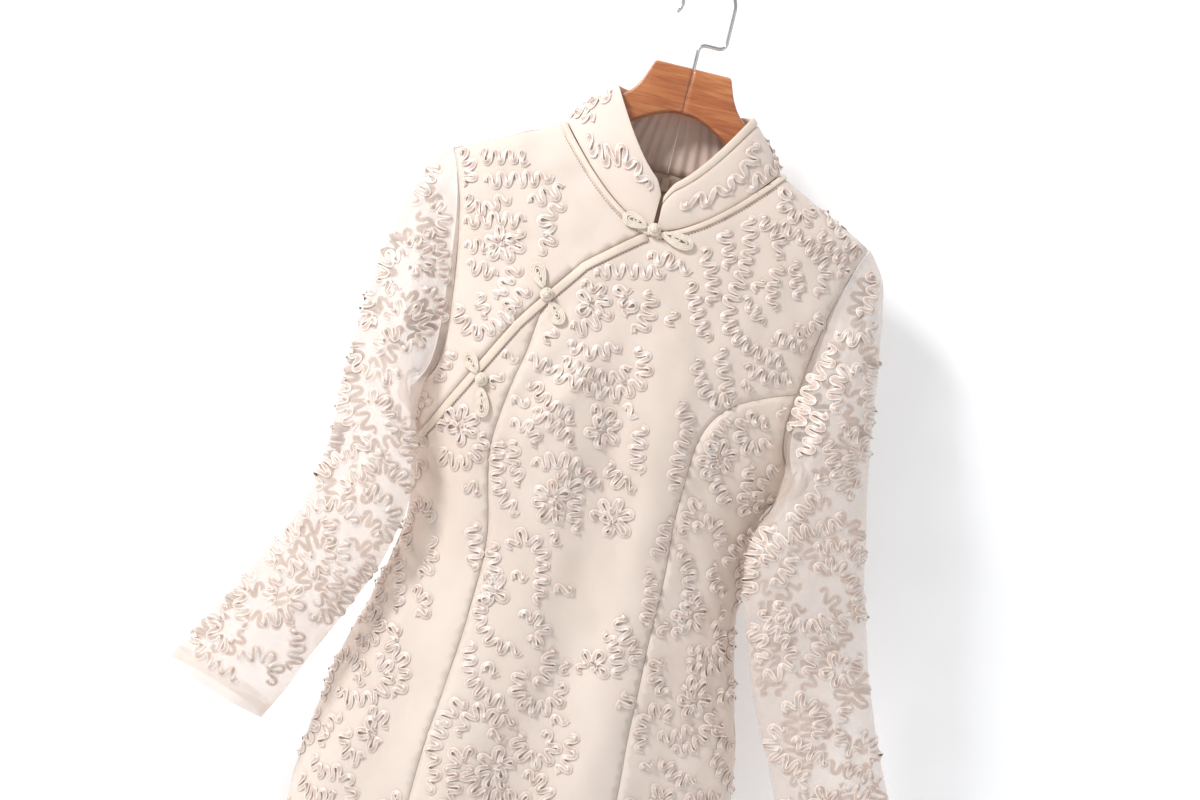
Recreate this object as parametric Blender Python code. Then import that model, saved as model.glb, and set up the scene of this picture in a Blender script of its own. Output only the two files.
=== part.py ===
# Cheongsam dress with serpentine ribbon applique, hung on a wooden hanger.
# Units are metres, +Z is up, the front of the dress faces -Y and +X is its
# left side as the wearer has it. The origin is under the crown of the hook.
import math
import random

import bmesh
import bpy
from mathutils import Matrix, Vector
from mathutils.geometry import delaunay_2d_cdt

MM = 0.001
SEAM_GAP = 0.16
CLOTH_WALL = 1.5
SKIRT_EXTRA = 1.1
SHEER_WALL = 2.2
SHEER_THIN = 1.1
SEAT_GAP = 0.3

# Body of the dress
NECK_Z = -150.0
NECK_HALF = 97.0
TIP_Z = -195.0
TIP_HALF = 188.0
FRONT_NECK_Z = -228.0
BACK_NECK_Z = -168.0
ARMPIT_Z = -407.0
HEM_Z = -1150.0
ROUNDNESS = 0.33

SECTION_COLUMNS = ("z", "half_width", "front_depth", "back_depth")
SECTIONS = (
    (-150.0, 97.0, 26.0, 25.0),
    (-195.0, 188.0, 36.0, 32.0),
    (-230.0, 189.0, 42.5, 37.0),
    (-275.0, 188.0, 51.0, 43.0),
    (-330.0, 184.0, 58.5, 47.0),
    (-401.0, 176.0, 62.0, 48.0),
    (-460.0, 160.0, 56.0, 45.0),
    (-520.0, 151.0, 50.0, 43.0),
    (-580.0, 161.0, 53.0, 48.0),
    (-655.0, 180.0, 59.0, 56.0),
    (-741.0, 191.0, 63.0, 61.0),
    (-860.0, 193.0, 63.0, 61.0),
    (-1000.0, 190.0, 61.0, 59.0),
    (-1150.0, 187.0, 60.0, 58.0),
)

ARMHOLE_COLUMNS = ("z", "front_x", "back_x")
ARMHOLE = (
    (-195.0, 188.0, 188.0),
    (-212.0, 180.5, 182.0),
    (-240.0, 170.0, 175.0),
    (-275.0, 162.0, 170.0),
    (-320.0, 155.0, 166.0),
    (-358.0, 151.0, 163.0),
    (-384.0, 153.5, 164.5),
    (-399.0, 162.5, 170.0),
)

# Soft folds that stand out from the cloth, on the front and on the back
FOLD_COLUMNS = ("side", "x_top", "z_top", "x_end", "z_end", "width", "height")
FOLDS = (
    ("front", 40.0, -340.0, 66.0, -610.0, 26.0, 5.5),
    ("front", 4.0, -360.0, 22.0, -640.0, 26.0, -4.5),
    ("front", -34.0, -370.0, -16.0, -640.0, 24.0, 3.0),
    ("front", -52.0, -600.0, -64.0, -1150.0, 28.0, 6.0),
    ("front", 4.0, -640.0, 2.0, -1150.0, 30.0, -6.0),
    ("front", 60.0, -640.0, 70.0, -1150.0, 28.0, 6.5),
    ("front", -116.0, -640.0, -124.0, -1150.0, 26.0, -5.0),
    ("front", 120.0, -650.0, 128.0, -1150.0, 26.0, -5.0),
    ("back", -62.0, -560.0, -66.0, -1150.0, 28.0, 6.0),
    ("back", 60.0, -560.0, 66.0, -1150.0, 28.0, 6.0),
    ("back", -96.0, -280.0, -60.0, -520.0, 26.0, -4.0),
    ("back", 96.0, -280.0, 60.0, -520.0, 26.0, -4.0),
    ("back", 120.0, -640.0, 124.0, -1150.0, 26.0, -5.0),
    ("back", -120.0, -640.0, -124.0, -1150.0, 26.0, -5.0),
)

# Panel seams as seen from the front
PRINCESS_COLUMNS = ("z", "x")
LEFT_PRINCESS = (
    (-302.0, -76.0),
    (-340.0, -79.0),
    (-398.0, -88.0),
    (-444.0, -91.0),
    (-515.0, -76.0),
    (-576.0, -75.0),
    (-634.0, -79.0),
    (-724.0, -86.0),
    (-1150.0, -92.0),
)
RIGHT_PRINCESS = (
    (-334.0, 153.0),
    (-345.0, 124.0),
    (-360.0, 98.0),
    (-384.0, 82.0),
    (-420.0, 77.0),
    (-468.0, 77.0),
    (-515.0, 80.0),
    (-572.0, 80.5),
    (-648.0, 82.5),
    (-724.0, 86.0),
    (-1150.0, 92.0),
)
OPENING_COLUMNS = ("x", "z")
OPENING = (
    (-1.0, -228.0),
    (-12.0, -235.0),
    (-53.0, -270.0),
    (-76.0, -302.0),
    (-96.0, -331.0),
    (-117.0, -372.0),
    (-133.0, -402.0),
    (-147.0, -430.0),
)
OPENING_END_Z = -462.0
OPENING_BAND = 7.0

# Applique ribbon trails, raised in the outer points of the wall
TRAIL_HALF_WIDTH = 5.5
TRAIL_HEIGHT = 2.4
TRAIL_STEP = 20.0
TRAIL_MARGIN = 9.0
BAND_MARGIN = 14.5


def smooth_step(value):
    value = max(0.0, min(1.0, value))
    return value * value * (3.0 - 2.0 * value)


def table_value(table, key, column):
    """Smooth value of a table's column at a key in its first column."""
    rows = table
    if key >= rows[0][0]:
        return rows[0][column]
    if key <= rows[-1][0]:
        return rows[-1][column]
    for index in range(len(rows) - 1):
        if rows[index + 1][0] <= key <= rows[index][0]:
            break
    here, there = rows[index], rows[index + 1]
    before = rows[index - 1] if index > 0 else here
    after = rows[index + 2] if index + 2 < len(rows) else there
    span = there[0] - here[0]
    part = (key - here[0]) / span
    slope_here = (there[column] - here[column]) / span
    slope_there = slope_here
    if before is not here:
        slope_here = (there[column] - before[column]) / (there[0] - before[0])
    if after is not there:
        slope_there = (after[column] - here[column]) / (after[0] - here[0])
    square = part * part
    cube = square * part
    return (
        (2 * cube - 3 * square + 1) * here[column]
        + (cube - 2 * square + part) * span * slope_here
        + (3 * square - 2 * cube) * there[column]
        + (cube - square) * span * slope_there
    )


def half_width(z):
    if z > TIP_Z:
        return NECK_HALF + (TIP_HALF - NECK_HALF) * (NECK_Z - z) / (NECK_Z - TIP_Z)
    return table_value(SECTIONS[1:], z, 1)


def depth(z, side):
    return table_value(SECTIONS, z, 2 if side == "front" else 3)


def quarter(z, side):
    """Quarter of the ellipse's length at a height."""
    a = half_width(z)
    b = depth(z, side)
    return math.pi / 4.0 * (3.0 * (a + b) - math.sqrt((3.0 * a + b) * (a + 3.0 * b)))


def angle_to_share(angle):
    return (1.0 - ROUNDNESS) * math.sin(angle) + ROUNDNESS * angle * 2.0 / math.pi


def share_to_angle(share):
    sign = -1.0 if share < 0 else 1.0
    share = abs(share)
    angle = min(share, 1.0) * math.pi / 2.0
    for _ in range(5):
        slope = (1.0 - ROUNDNESS) * math.cos(angle) + ROUNDNESS * 2.0 / math.pi
        angle -= (angle_to_share(angle) - share) / slope
    return sign * angle


def across(x, z, side):
    """Distance round the body from the centre line, for a front view x."""
    ratio = max(-1.0, min(1.0, x / half_width(z)))
    return quarter(z, side) * angle_to_share(math.asin(ratio))


def fold_height(side, x, z):
    total = 0.0
    for row in FOLDS:
        fold = dict(zip(FOLD_COLUMNS, row))
        if fold["side"] != side:
            continue
        run = fold["z_top"] - fold["z_end"]
        part = (fold["z_top"] - z) / run
        if part <= -0.25 or part >= 1.25:
            continue
        line_x = fold["x_top"] + (fold["x_end"] - fold["x_top"]) * part
        fade = smooth_step((part + 0.25) / 0.4)
        if fold["z_end"] > HEM_Z + 1.0:
            fade *= smooth_step((1.25 - part) / 0.4)
        away = (x - line_x) / fold["width"]
        total += fold["height"] * fade * math.exp(-away * away)
    return total


def body_point(u, z, side):
    """Point of the cloth's outer face, u round from the centre line."""
    angle = share_to_angle(u / quarter(z, side))
    x = half_width(z) * math.sin(angle)
    out = depth(z, side) * math.cos(angle)
    out += fold_height(side, x, z) * max(0.0, math.cos(angle))
    return Vector((x, -out if side == "front" else out, z))


def body_normal(u, z, side):
    step = 0.8
    along = body_point(u + step, z, side) - body_point(u - step, z, side)
    up = body_point(u, z + step, side) - body_point(u, z - step, side)
    normal = along.cross(up)
    normal.normalize()
    middle = Vector((0.0, 0.0, z - 40.0 if z > TIP_Z - 8.0 else z))
    if normal.dot(body_point(u, z, side) - middle) < 0.0:
        normal.negate()
    return normal


def on_body(u, z, side, lift):
    return body_point(u, z, side) + body_normal(u, z, side) * lift


# Outline curves of the panels, as lists of (u, z)

def sampled(top, bottom, step=26.0):
    count = max(1, round((top - bottom) / step))
    return [top + (bottom - top) * index / count for index in range(count + 1)]


ROWS = [-462.0] + sampled(-484.0, HEM_Z, 33.0)


def neckline_z(x, side):
    part = min(1.0, abs(x) / NECK_HALF)
    if side == "front":
        return FRONT_NECK_Z + (NECK_Z - FRONT_NECK_Z) * part ** 1.6
    return BACK_NECK_Z + (NECK_Z - BACK_NECK_Z) * part ** 2.2


def neckline(side, start_x, count=14):
    """From the centre to the neck point at the shoulder."""
    points = []
    for index in range(count + 1):
        part = index / count
        x = start_x + (NECK_HALF - start_x) * math.sin(part * math.pi / 2.0)
        z = neckline_z(x, side)
        points.append((across(x, z, side), z))
    return points


def shoulder(side, count=5):
    points = []
    for index in range(1, count + 1):
        z = NECK_Z + (TIP_Z - NECK_Z) * index / count
        points.append((quarter(z, side), z))
    return points


ARMHOLE_ZS = (
    -202.0, -212.0, -226.0, -242.0, -260.0, -280.0, -302.0,
    -334.0, -352.0, -368.0, -382.0, -393.0, -401.5,
)


def armhole_x(z, side):
    rows = ARMHOLE + ((ARMPIT_Z, half_width(ARMPIT_Z), half_width(ARMPIT_Z)),)
    x = table_value(rows, z, 1 if side == "front" else 2)
    return min(x, half_width(z))


def armhole(side, above=-1000.0, below=0.0):
    zs = [z for z in ARMHOLE_ZS if below > z > above]
    return [(across(armhole_x(z, side), z, side), z) for z in zs]


def side_seam(side, top):
    zs = [z for z in (ARMPIT_Z, -434.0) if z <= top] + [z for z in ROWS if z <= top]
    return [(quarter(z, side), z) for z in zs]


def seam_rows(table, top, side):
    zs = [z for z in ROWS if z < top - 8.0]
    heights = [row[0] for row in table if top + 0.1 >= row[0] > ROWS[0]]
    return [(across(table_value(table, z, 1), z, side), z) for z in heights + zs]


def hem(side, start_u, end_u, count):
    return [(start_u + (end_u - start_u) * i / count, HEM_Z) for i in range(1, count)]


def loop_area(points):
    total = 0.0
    for (u0, z0), (u1, z1) in zip(points, points[1:] + points[:1]):
        total += u0 * z1 - u1 * z0
    return total / 2.0


def inset(points, amount):
    """Loop moved inward by an amount."""
    if loop_area(points) < 0:
        points = list(reversed(points))
    moved = []
    count = len(points)
    for index in range(count):
        before = Vector(points[index - 1])
        here = Vector(points[index])
        after = Vector(points[(index + 1) % count])
        one = (here - before).normalized()
        two = (after - here).normalized()
        normal = Vector((-(one.y + two.y), one.x + two.x))
        normal.normalize()
        stretch = max(0.35, normal.dot(Vector((-one.y, one.x))))
        moved.append(here + normal * (amount / stretch))
    return moved


def distance_to_segment(point, start, end):
    line = end - start
    length = line.length_squared
    part = 0.0 if length == 0.0 else max(0.0, min(1.0, (point - start).dot(line) / length))
    return (point - start - line * part).length


def distance_to_path(point, path, closed=False):
    pairs = list(zip(path, path[1:] + path[:1])) if closed else list(zip(path, path[1:]))
    return min(distance_to_segment(point, a, b) for a, b in pairs)


def inside(point, loop):
    result = False
    for a, b in zip(loop, loop[1:] + loop[:1]):
        if (a.y > point.y) != (b.y > point.y):
            cross = a.x + (point.y - a.y) * (b.x - a.x) / (b.y - a.y)
            if point.x < cross:
                result = not result
    return result


# Trails of gathered ribbon

def trail_path(start, heading, length, bend):
    """Curved centre line that turns by bend degrees along its length."""
    count = max(2, round(length / TRAIL_STEP))
    path = [Vector(start)]
    turn = math.radians(heading)
    for index in range(count):
        turn += math.radians(bend) / count
        step = length / count
        path.append(path[-1] + Vector((math.cos(turn), math.sin(turn))) * step)
    return path


def clipped(path, loop, margin):
    """Longest run of a path that keeps a margin from the loop."""
    best, run = [], []
    for point in path:
        if inside(point, loop) and distance_to_path(point, loop, True) > margin:
            run.append(point)
        else:
            run = []
        if len(run) > len(best):
            best = list(run)
    return best


def keep_apart(path, others, apart):
    for other in others:
        for point in path:
            if distance_to_path(point, other) < apart:
                return False
    return True


def fill_with_trails(loop, seed, tries, avoid=(), apart=16.5):
    """Seeded scrolls that fill a panel without crossing."""
    chance = random.Random(seed)
    us = [point.x for point in loop]
    zs = [point.y for point in loop]
    trails = []
    for _ in range(tries):
        start = (chance.uniform(min(us), max(us)), chance.uniform(min(zs), max(zs)))
        heading = chance.uniform(0.0, 360.0)
        length = chance.choice((52.0, 70.0, 88.0, 120.0))
        bend = chance.choice((-1.0, 1.0)) * chance.uniform(30.0, 190.0)
        path = clipped(trail_path(start, heading, length, bend), loop, TRAIL_MARGIN)
        if len(path) < 3:
            continue
        if any(distance_to_path(point, line) < room for point in path for line, room in avoid):
            continue
        if keep_apart(path, trails, apart):
            trails.append(path)
    return trails


def trail_outline(path):
    """Closed outline round a trail's centre line."""
    left, right = [], []
    for index, point in enumerate(path):
        before = path[max(0, index - 1)]
        after = path[min(len(path) - 1, index + 1)]
        along = (after - before).normalized()
        normal = Vector((-along.y, along.x)) * TRAIL_HALF_WIDTH
        left.append(point + normal)
        right.append(point - normal)
    head = path[-1] + (path[-1] - path[-2]).normalized() * TRAIL_HALF_WIDTH
    tail = path[0] + (path[0] - path[1]).normalized() * TRAIL_HALF_WIDTH
    return left + [head] + list(reversed(right)) + [tail]


# Mesh building

def new_object(name, verts, faces, material, smooth=True):
    mesh = bpy.data.meshes.new(name)
    mesh.from_pydata([Vector(v) * MM for v in verts], [], faces)
    shape = bmesh.new()
    shape.from_mesh(mesh)
    bmesh.ops.recalc_face_normals(shape, faces=shape.faces)
    if shape.calc_volume(signed=True) < 0.0:
        bmesh.ops.reverse_faces(shape, faces=shape.faces)
    shape.to_mesh(mesh)
    shape.free()
    for face in mesh.polygons:
        face.use_smooth = smooth
    item = bpy.data.objects.new(name, mesh)
    bpy.context.scene.collection.objects.link(item)
    item.data.materials.append(material)
    return item


def triangulate(loop, extra, edges):
    """Triangles of a loop with extra points and edges between them."""
    points = list(loop) + list(extra)
    ring = list(range(len(loop)))
    result = delaunay_2d_cdt(points, edges, [ring], 1, 0.01)
    return result[0], result[2], result[3]


def wall_solid(name, loop, grid, trails, place, wall, material):
    """Closed wall over a loop: raised trails outside and a plain inside."""
    outer_points = [p for p in grid if not trails or min(
        distance_to_path(p, path) for path in trails) > TRAIL_HALF_WIDTH + 4.0]
    edges = []
    for path in trails:
        outline = trail_outline(path)
        base = len(loop) + len(outer_points)
        outer_points += outline
        count = len(outline)
        edges += [(base + i, base + (i + 1) % count) for i in range(count)]
        base += count
        outer_points += path
        edges += [(base + i, base + i + 1) for i in range(len(path) - 1)]
    verts, faces = [], []
    rims = []
    for points, lines, outer in ((outer_points, edges, True), (grid, [], False)):
        flat, triangles, origins = triangulate(loop, points, lines)
        base = len(verts)
        rim = [None] * len(loop)
        for index, point in enumerate(flat):
            lift = 0.0 if outer else -wall(point.x, point.y)
            for origin in origins[index]:
                if origin < len(loop):
                    rim[origin] = base + index
            if outer and trails and not any(o < len(loop) for o in origins[index]):
                away = min(distance_to_path(point, path) for path in trails)
                lift = TRAIL_HEIGHT * max(0.0, 1.0 - away / (TRAIL_HALF_WIDTH - 0.2))
            verts.append(place(point.x, point.y, lift))
        for triangle in triangles:
            corners = [base + index for index in triangle]
            faces.append(corners if outer else corners[::-1])
        rims.append(rim)
    count = len(loop)
    for index in range(count):
        after = (index + 1) % count
        faces.append((rims[0][index], rims[1][index], rims[1][after], rims[0][after]))
    return new_object(name, verts, faces, material)


def grid_points(loop, columns, rows):
    """Inner points of a panel on shared columns and rows."""
    found = []
    for z in rows:
        for u in columns(z):
            point = Vector((u, z))
            if inside(point, loop) and distance_to_path(point, loop, True) > 3.6:
                found.append(point)
    return found


def body_columns(side):
    shares = (0.0, 0.115, 0.23, 0.345, 0.46, 0.57, 0.675, 0.77, 0.85, 0.91, 0.95, 0.975)

    def columns(z):
        length = quarter(z, side)
        return [s * length for s in shares] + [-s * length for s in shares if s]

    return columns


GRID_ROWS = [-158.0, -170.0, -183.0] + sampled(-200.0, -440.0, 32.0)
GRID_ROWS += sampled(-473.0, HEM_Z + 22.0, 48.0)


def trims(side):
    """Bands and frogs that the trails keep clear of, with the room they need."""
    lines = []
    for sign in (-1.0, 1.0):
        neck = [Vector((sign * u, z)) for u, z in neckline(side, 0.0)]
        lines.append((neck, BAND_MARGIN - 1.5))
    if side == "back":
        return lines
    lines.append(([Vector(point) for point in opening_points(0, None)], BAND_MARGIN))
    for row in FROGS:
        frog = dict(zip(FROG_COLUMNS, row))
        centre = Vector((across(frog["x"], frog["z"], side), frog["z"]))
        for key, length in (("first_turn", "first_length"), ("second_turn", "second_length")):
            angle = math.radians(frog[key])
            reach = Vector((math.cos(angle), math.sin(angle))) * (frog[length] + 7.0)
            lines.append(([centre, centre + reach], 13.5))
    return lines


def body_wall(u, z):
    """Wall of the body's cloth, thicker in the skirt, where its facets are longest."""
    skirt = smooth_step((-560.0 - z) / 80.0)
    return CLOTH_WALL + SKIRT_EXTRA * skirt * smooth_step((abs(u) - 26.0) / 24.0)


def body_panel(name, points, side, seed, tries, material):
    loop = inset(points, SEAM_GAP)
    apart = 52.0 if side == "back" else 25.0
    trails = fill_with_trails(loop, seed, tries, trims(side), apart)
    grid = grid_points(loop, body_columns(side), GRID_ROWS)
    return wall_solid(
        name, loop, grid, trails,
        lambda u, z, lift: on_body(u, z, side, lift),
        body_wall, material,
    )


# Sleeves, from the armhole to the cuff

SLEEVE_COLUMNS = (
    "outer_x", "outer_z", "inner_x", "inner_z", "outer_y", "inner_y", "half_depth",
)
LEFT_SLEEVE = (
    (188.0, -195.0, 177.5, -407.0, 0.0, 0.0, 27.0),
    (203.0, -219.0, 177.0, -415.0, -2.0, -10.0, 30.0),
    (215.0, -256.0, 166.0, -428.0, -6.0, -30.0, 31.0),
    (225.0, -305.0, 155.0, -444.0, -12.0, -44.0, 29.0),
    (228.0, -360.0, 149.0, -464.0, -18.0, -49.0, 27.0),
    (228.0, -420.0, 147.0, -490.0, -22.0, -50.0, 26.0),
    (228.0, -478.0, 149.0, -522.0, -24.0, -49.0, 25.0),
    (238.0, -534.0, 160.0, -562.0, -25.0, -46.0, 24.0),
    (262.0, -584.0, 179.0, -608.0, -26.0, -44.0, 23.0),
    (288.0, -631.0, 201.0, -657.0, -27.0, -42.0, 22.0),
    (316.0, -683.0, 226.0, -711.0, -28.0, -40.0, 21.0),
)
RIGHT_SLEEVE = (
    (188.0, -195.0, 177.5, -407.0, 0.0, 0.0, 27.0),
    (202.0, -217.0, 177.0, -414.0, -2.0, -10.0, 30.0),
    (213.0, -256.0, 165.0, -427.0, -6.0, -30.0, 31.0),
    (219.0, -305.0, 153.0, -440.0, -12.0, -44.0, 30.0),
    (226.0, -360.0, 145.0, -456.0, -18.0, -51.0, 28.0),
    (236.0, -420.0, 142.0, -480.0, -22.0, -52.0, 27.0),
    (250.0, -478.0, 150.0, -514.0, -24.0, -50.0, 26.0),
    (265.0, -534.0, 164.0, -556.0, -25.0, -46.0, 24.0),
    (283.0, -584.0, 183.0, -604.0, -26.0, -44.0, 23.0),
    (303.0, -631.0, 207.0, -654.0, -27.0, -42.0, 22.0),
    (326.0, -681.0, 233.0, -707.0, -28.0, -40.0, 21.0),
)
SLEEVE_STEP = 50.0
SLEEVE_SHARES = (0.0, 0.08, 0.165, 0.265, 0.38, 0.5, 0.62, 0.735, 0.835, 0.92)
SLEEVE_ROOM = 1.0
SLEEVE_JOIN = 3.0
TOP_REACH = 90.0
TIP_SLOPE = (0.72, 0.0, -0.69)
LOW_REACH = 24.0
LOW_DROP = 12.0
SLEEVE_FOLD_COLUMNS = ("row", "angle", "slant", "width", "height")
SLEEVE_FOLDS = (
    (2.6, 60.0, 14.0, 0.5, 3.0),
    (4.2, 30.0, -10.0, 0.45, -3.0),
    (6.4, 70.0, 16.0, 0.4, 3.0),
    (7.3, 110.0, -16.0, 0.4, -3.0),
    (8.6, 50.0, 10.0, 0.5, 2.5),
    (4.8, -60.0, 14.0, 0.5, -3.0),
    (7.0, -90.0, -14.0, 0.5, 3.0),
)


def row_value(table, row, column):
    """Smooth value of a column at a fractional row."""
    low = max(0, min(len(table) - 2, int(row)))
    part = row - low
    here, there = table[low][column], table[low + 1][column]
    before = table[low - 1][column] if low > 0 else here
    after = table[low + 2][column] if low + 2 < len(table) else there
    one = (there - before) / (2.0 if low > 0 else 1.0)
    two = (after - here) / (2.0 if low + 2 < len(table) else 1.0)
    square = part * part
    cube = square * part
    return (
        (2 * cube - 3 * square + 1) * here
        + (cube - 2 * square + part) * one
        + (3 * square - 2 * cube) * there
        + (cube - square) * two
    )


def sleeve_oval(table, row, angle):
    values = [row_value(table, row, column) for column in range(7)]
    outer = Vector((values[0], values[4], values[1]))
    inner = Vector((values[2], values[5], values[3]))
    later = [row_value(table, row + 0.05, column) for column in range(7)]
    sooner = [row_value(table, row - 0.05, column) for column in range(7)]
    along = Vector((
        later[0] + later[2] - sooner[0] - sooner[2],
        later[4] + later[5] - sooner[4] - sooner[5],
        later[1] + later[3] - sooner[1] - sooner[3],
    ))
    if row < 1.5:
        along = along.lerp(Vector((1.0, 0.0, -0.1)) * along.length, 1.0 - row / 1.5)
    chord = (outer - inner) * 0.5
    cross = along.cross(chord).normalized()
    if cross.y > 0.0:
        cross.negate()
    fold = 0.0
    for line in SLEEVE_FOLDS:
        away = (row - line[0] - line[2] / 90.0 * math.sin(angle)) / line[3]
        turn = math.cos(angle - math.radians(line[1]))
        if turn > 0.0:
            fold += line[4] * math.exp(-away * away) * turn * turn
    spread = 1.0 + fold / 40.0
    middle = (outer + inner) * 0.5
    if math.sin(angle) < 0.0:
        flat = 1.0 - smooth_step((row - 6.0) / 2.0)
        spread *= 1.0 - 0.7 * flat * (0.5 - 0.5 * math.cos(angle))
    return middle + chord * math.cos(angle) + cross * values[6] * math.sin(angle) * spread


def armhole_point(angle):
    """Point of the armhole edge: 0 at the shoulder tip, a half turn below."""
    middle = (TIP_Z + ARMPIT_Z) / 2.0
    z = middle + (TIP_Z - middle) * math.cos(angle)
    side = "front" if math.sin(angle) > 0.0 else "back"
    return across(armhole_x(z, side), z, side), z, side


def clear_of_body(point, room):
    """Moves a point of a sleeve out of the body's section below the armpit."""
    if point.z > ARMPIT_Z + 14.0:
        return point
    side = "front" if point.y < 0.0 else "back"
    room *= smooth_step((ARMPIT_Z - point.z) / 24.0)
    near = 9.5 * smooth_step((ARMPIT_Z + 14.0 - point.z) / 11.0)
    wide = half_width(point.z) + near + room
    deep = depth(point.z, side) + near + room
    reach = math.hypot(point.x / wide, point.y / deep)
    if reach < 1.0:
        return Vector((point.x / reach, point.y / reach, point.z))
    return point


def armhole_edge(angle):
    """Point of the armhole edge, the cloth's normal there and the way out of it."""
    body_u, z, side = armhole_point(angle)
    normal = body_normal(body_u, z, side)
    point = body_point(body_u, z, side)
    one = armhole_point(min(math.pi, angle + 0.02))
    two = armhole_point(max(-math.pi, angle - 0.02))
    edge = body_point(*one) - body_point(*two)
    out = normal.cross(edge).normalized()
    middle = Vector((TIP_HALF, 0.0, (TIP_Z + ARMPIT_Z) / 2.0))
    if out.dot(middle - point) < 0.0:
        out.negate()
    return point, normal, out


def sleeve_point(table, row, angle):
    """Runs out of the armhole and turns down into the sleeve's ovals."""
    if row >= SLEEVE_JOIN:
        return clear_of_body(sleeve_oval(table, row, angle), SLEEVE_ROOM)
    start, normal, out = armhole_edge(angle)
    end = sleeve_oval(table, SLEEVE_JOIN, angle)
    ahead = sleeve_oval(table, SLEEVE_JOIN + 0.05, angle)
    arrive = (ahead - sleeve_oval(table, SLEEVE_JOIN - 0.05, angle)) * 10.0 * SLEEVE_JOIN
    high = 0.5 + 0.5 * math.cos(angle)
    turn = math.sin(angle) ** 2
    leave = (out * turn + Vector(TIP_SLOPE) * (1.0 - turn)) * TOP_REACH * high
    leave += (normal * LOW_REACH + Vector((0.0, 0.0, -LOW_DROP))) * (1.0 - high)
    part = row / SLEEVE_JOIN
    square = part * part
    cube = square * part
    point = (
        start * (2 * cube - 3 * square + 1) + leave * (cube - 2 * square + part)
        + end * (3 * square - 2 * cube) + arrive * (cube - square)
    )
    return clear_of_body(point, SLEEVE_ROOM)


def sleeve_girth(table, row):
    a = math.hypot(
        row_value(table, row, 0) - row_value(table, row, 2),
        row_value(table, row, 1) - row_value(table, row, 3),
    ) / 2.0
    b = row_value(table, row, 6)
    return math.pi * (3.0 * (a + b) - math.sqrt((3.0 * a + b) * (a + 3.0 * b)))


def sleeve_place(table, mirror):
    """Placing function of a sleeve: u round from the outer fold, v down."""

    def surface(u, v):
        row = max(0.0, -v / SLEEVE_STEP)
        angle = u / sleeve_girth(table, row) * 2.0 * math.pi
        return sleeve_point(table, row, angle)

    def place(u, v, lift):
        row = -v / SLEEVE_STEP
        angle = u / sleeve_girth(table, max(0.0, row)) * 2.0 * math.pi
        angle = max(-math.pi, min(math.pi, angle))
        if v > -0.5:
            point, normal, out = armhole_edge(angle)
            under = smooth_step((-0.75 - math.cos(angle)) / 0.2)
            point = point + out * (SEAM_GAP + 0.04 + 0.5 * under)
            point = point + normal * (SEAT_GAP + 0.3 * under)
        else:
            step = 1.0
            point = surface(u, v)
            along = surface(u + step, v) - surface(u - step, v)
            down = surface(u, v - step) - surface(u, min(0.0, v + step))
            normal = along.cross(down).normalized()
        point = point + normal * lift
        return Vector((point.x * mirror, point.y, point.z))

    return place


def sleeve_wall(table):
    """Wall of a sleeve, thin in the tight fold under the arm."""

    def wall(u, v):
        row = -v / SLEEVE_STEP
        angle = u / sleeve_girth(table, max(0.0, row)) * 2.0 * math.pi
        under = smooth_step((0.1 - math.cos(angle)) / 0.5)
        return SHEER_WALL - SHEER_THIN * under * (1.0 - smooth_step((row - 2.2) / 0.8))

    return wall


def sleeve(name, table, mirror, seed, material):
    rows = len(table) - 1
    edge = 0.4

    def half(row):
        return sleeve_girth(table, row) / 2.0 - edge

    middle = (TIP_Z + ARMPIT_Z) / 2.0
    turns = [math.acos((z - middle) / (TIP_Z - middle)) / math.pi for z in ARMHOLE_ZS]
    shares = [1.0] + turns[::-1] + [0.0] + [-turn for turn in turns] + [-1.0]
    top = [(half(0.0) * share, 0.0) for share in shares]
    side_rows = [0.14, 0.4, 0.8, 1.2, 1.8, 2.5, 3.2, 4.0, 5.0, 6.0, 7.0, 8.0, 9.0]
    down = [(-half(row), -row * SLEEVE_STEP) for row in side_rows]
    count = 16
    low = [(-half(rows) + 2.0 * half(rows) * i / count, -rows * SLEEVE_STEP)
           for i in range(count + 1)]
    up = [(half(row), -row * SLEEVE_STEP) for row in reversed(side_rows)]
    points = [Vector(point) for point in top + down + low + up]
    loop = points if loop_area(points) > 0 else list(reversed(points))
    grid = []
    for row in (0.14, 0.5, 1.0, 1.6, 2.3, 3.1, 4.0, 4.9, 5.8, 6.7, 7.6, 8.5, 9.3):
        for share in SLEEVE_SHARES:
            for sign in (-1.0, 1.0)[:2 if share else 1]:
                point = Vector((sign * share * half(row), -row * SLEEVE_STEP))
                if distance_to_path(point, loop, True) > 4.0:
                    grid.append(point)
    trails = [
        path for path in fill_with_trails(loop, seed, 260, (), 44.0)
        if min(p.y for p in path) > -rows * SLEEVE_STEP + 8.0
        and max(p.y for p in path) < -34.0
    ]
    return wall_solid(name, loop, grid, trails, sleeve_place(table, mirror),
                      sleeve_wall(table), material)


# Collar, standing on the neckline

COLLAR_TOP_HALF = 61.0
COLLAR_TOP_Z = -107.0
COLLAR_FRONT_Z = -187.0
COLLAR_FRONT_Y = -38.0
COLLAR_BACK_Y = 20.0


def collar_base(angle):
    """Neckline point: 0 at the front, a half turn at the back."""
    x = NECK_HALF * math.sin(angle)
    side = "front" if angle < math.pi / 2.0 else "back"
    z = neckline_z(x, side)
    return body_point(across(x, z, side), z, side)


def collar_top(angle):
    x = COLLAR_TOP_HALF * math.sin(angle)
    if angle < math.pi / 2.0:
        rise = math.sin(angle)
        corner = max(0.0, 1.0 - rise / 0.16)
        z = COLLAR_FRONT_Z + (COLLAR_TOP_Z - COLLAR_FRONT_Z) * rise ** 1.45
        z -= 12.0 * corner * corner
        return Vector((x, COLLAR_FRONT_Y * math.cos(angle), z))
    z = COLLAR_TOP_Z - 3.0 * math.cos(angle) ** 2
    return Vector((x, -COLLAR_BACK_Y * math.cos(angle), z))


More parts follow.
